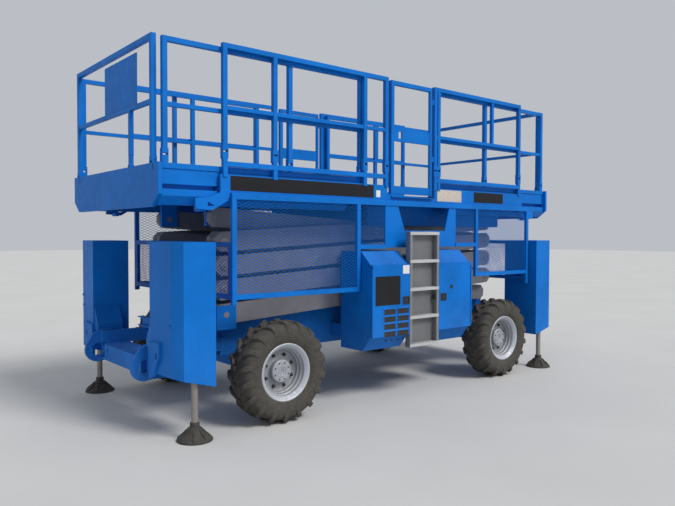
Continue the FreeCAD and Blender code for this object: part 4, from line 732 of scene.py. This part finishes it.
def make_engine():
    """A small diesel behind the far door, inside its block's space."""
    low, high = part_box("engine_block")

    def x(share):
        return low[0] + (high[0] - low[0]) * share

    def y(share):
        return low[1] + (high[1] - low[1]) * share

    def z(share):
        return low[2] + (high[2] - low[2]) * share

    block = Piece()
    block.box((x(0.12), x(0.82)), (y(0.12), y(0.80)), (z(0.10), z(0.58)))
    block.box((x(0.16), x(0.78)), (y(0.20), y(0.66)), (z(0.58), z(0.72)))
    block.box((x(0.18), x(0.76)), (y(0.26), y(0.60)), (z(0.72), z(0.80)))
    sump = [(x(0.12), z(0.10)), (x(0.82), z(0.10)), (x(0.74), z(0.0)), (x(0.20), z(0.0))]
    block.prism(sump, 1, y(0.18), y(0.74))
    for fin in range(7):
        left = x(0.16 + 0.09 * fin)
        block.box((left, left + 0.012), (y(0.80), y(0.84)), (z(0.16), z(0.54)))
    block.make("engine_casting", "chassis", ENGINE, bevel=0.006,
               replaces=["engine_block"])
    extras = Piece()
    radius = (z(1.0) - z(0.80)) / 2
    silencer = ((0.001, -0.14), (radius, -0.14), (radius, 0.10), (radius * 0.8, 0.12),
                (radius * 0.8, 0.14), (0.001, 0.14))
    pulley = ((0.001, 0.0), (0.085, 0.0), (0.09, 0.004), (0.082, 0.012), (0.09, 0.020),
              (0.085, 0.024), (0.03, 0.024), (0.03, 0.036), (0.001, 0.036))
    oil_filter = ((0.001, 0.0), (0.042, 0.0), (0.042, 0.09), (0.034, 0.10), (0.001, 0.10))
    extras.lathe(silencer, (x(0.45), y(0.40), z(0.90)), 0, 32)
    extras.lathe(pulley, (x(0.84), y(0.45), z(0.36)), 0, 40)
    extras.lathe(oil_filter, (x(0.30), y(0.80) - 0.02, z(0.30)), 1, 28)
    pipe = ((x(0.62), y(0.66), z(0.64)), (x(0.66), y(0.82), z(0.66)),
            (x(0.72), y(0.86), z(0.80)), (x(0.72), y(0.70), z(0.94)), (x(0.70), y(0.46), z(0.92)))
    extras.tube(pipe, 0.022, 14)
    extras.make("engine_fittings", "chassis", DARK, smooth=True)


def set_stage():
    """Pale floor and backdrop, soft light, and the photograph's camera."""
    bpy.ops.mesh.primitive_plane_add(size=120, location=(0, 0, 0))
    ground = bpy.context.object
    ground.name = "studio_floor"
    graph = Graph("studio_floor")
    pale = graph.blend(graph.ramp(graph.noise(0.7), 0.3, 0.7), FLOOR_DARK, FLOOR_LIGHT)
    graph.link(pale, graph.shader.inputs["Base Color"])
    graph.shader.inputs["Roughness"].default_value = 0.9
    ground.data.materials.append(graph.material)

    world = bpy.data.worlds.new("studio")
    world.use_nodes = True
    world.node_tree.nodes["Background"].inputs["Color"].default_value = (0.80, 0.84, 0.90, 1.0)
    world.node_tree.nodes["Background"].inputs["Strength"].default_value = 0.62
    bpy.context.scene.world = world

    sun = bpy.data.lights.new("key", "SUN")
    sun.energy = 2.3
    sun.angle = math.radians(20)
    sun.color = (1.0, 0.98, 0.95)
    key = bpy.data.objects.new("key", sun)
    key.rotation_euler = Vector((-0.25, 0.8, -0.85)).to_track_quat("-Z", "Y").to_euler()
    bpy.context.scene.collection.objects.link(key)

    lens = bpy.data.cameras.new("photo_camera")
    lens.sensor_width = 36
    lens.lens = 34.98
    lens.clip_end = 300
    camera = bpy.data.objects.new("photo_camera", lens)
    camera.location = (-4.418, -5.369, 1.516)
    heading = Matrix.Rotation(math.radians(-39.346), 4, "Z")
    pitch = Matrix.Rotation(math.radians(90 - 1.569), 4, "X")
    roll = Matrix.Rotation(math.radians(0.136), 4, "Z")
    camera.rotation_euler = (heading @ pitch @ roll).to_euler()
    bpy.context.scene.collection.objects.link(camera)
    bpy.context.scene.camera = camera
    bpy.context.scene.view_settings.view_transform = "Standard"


make_guard_mesh()
make_wheels()
make_films()
make_door_details()
make_rung_treads()
make_legs()
make_pin_covers()
make_deck_sheets()
make_end_details()
make_engine()
set_stage()
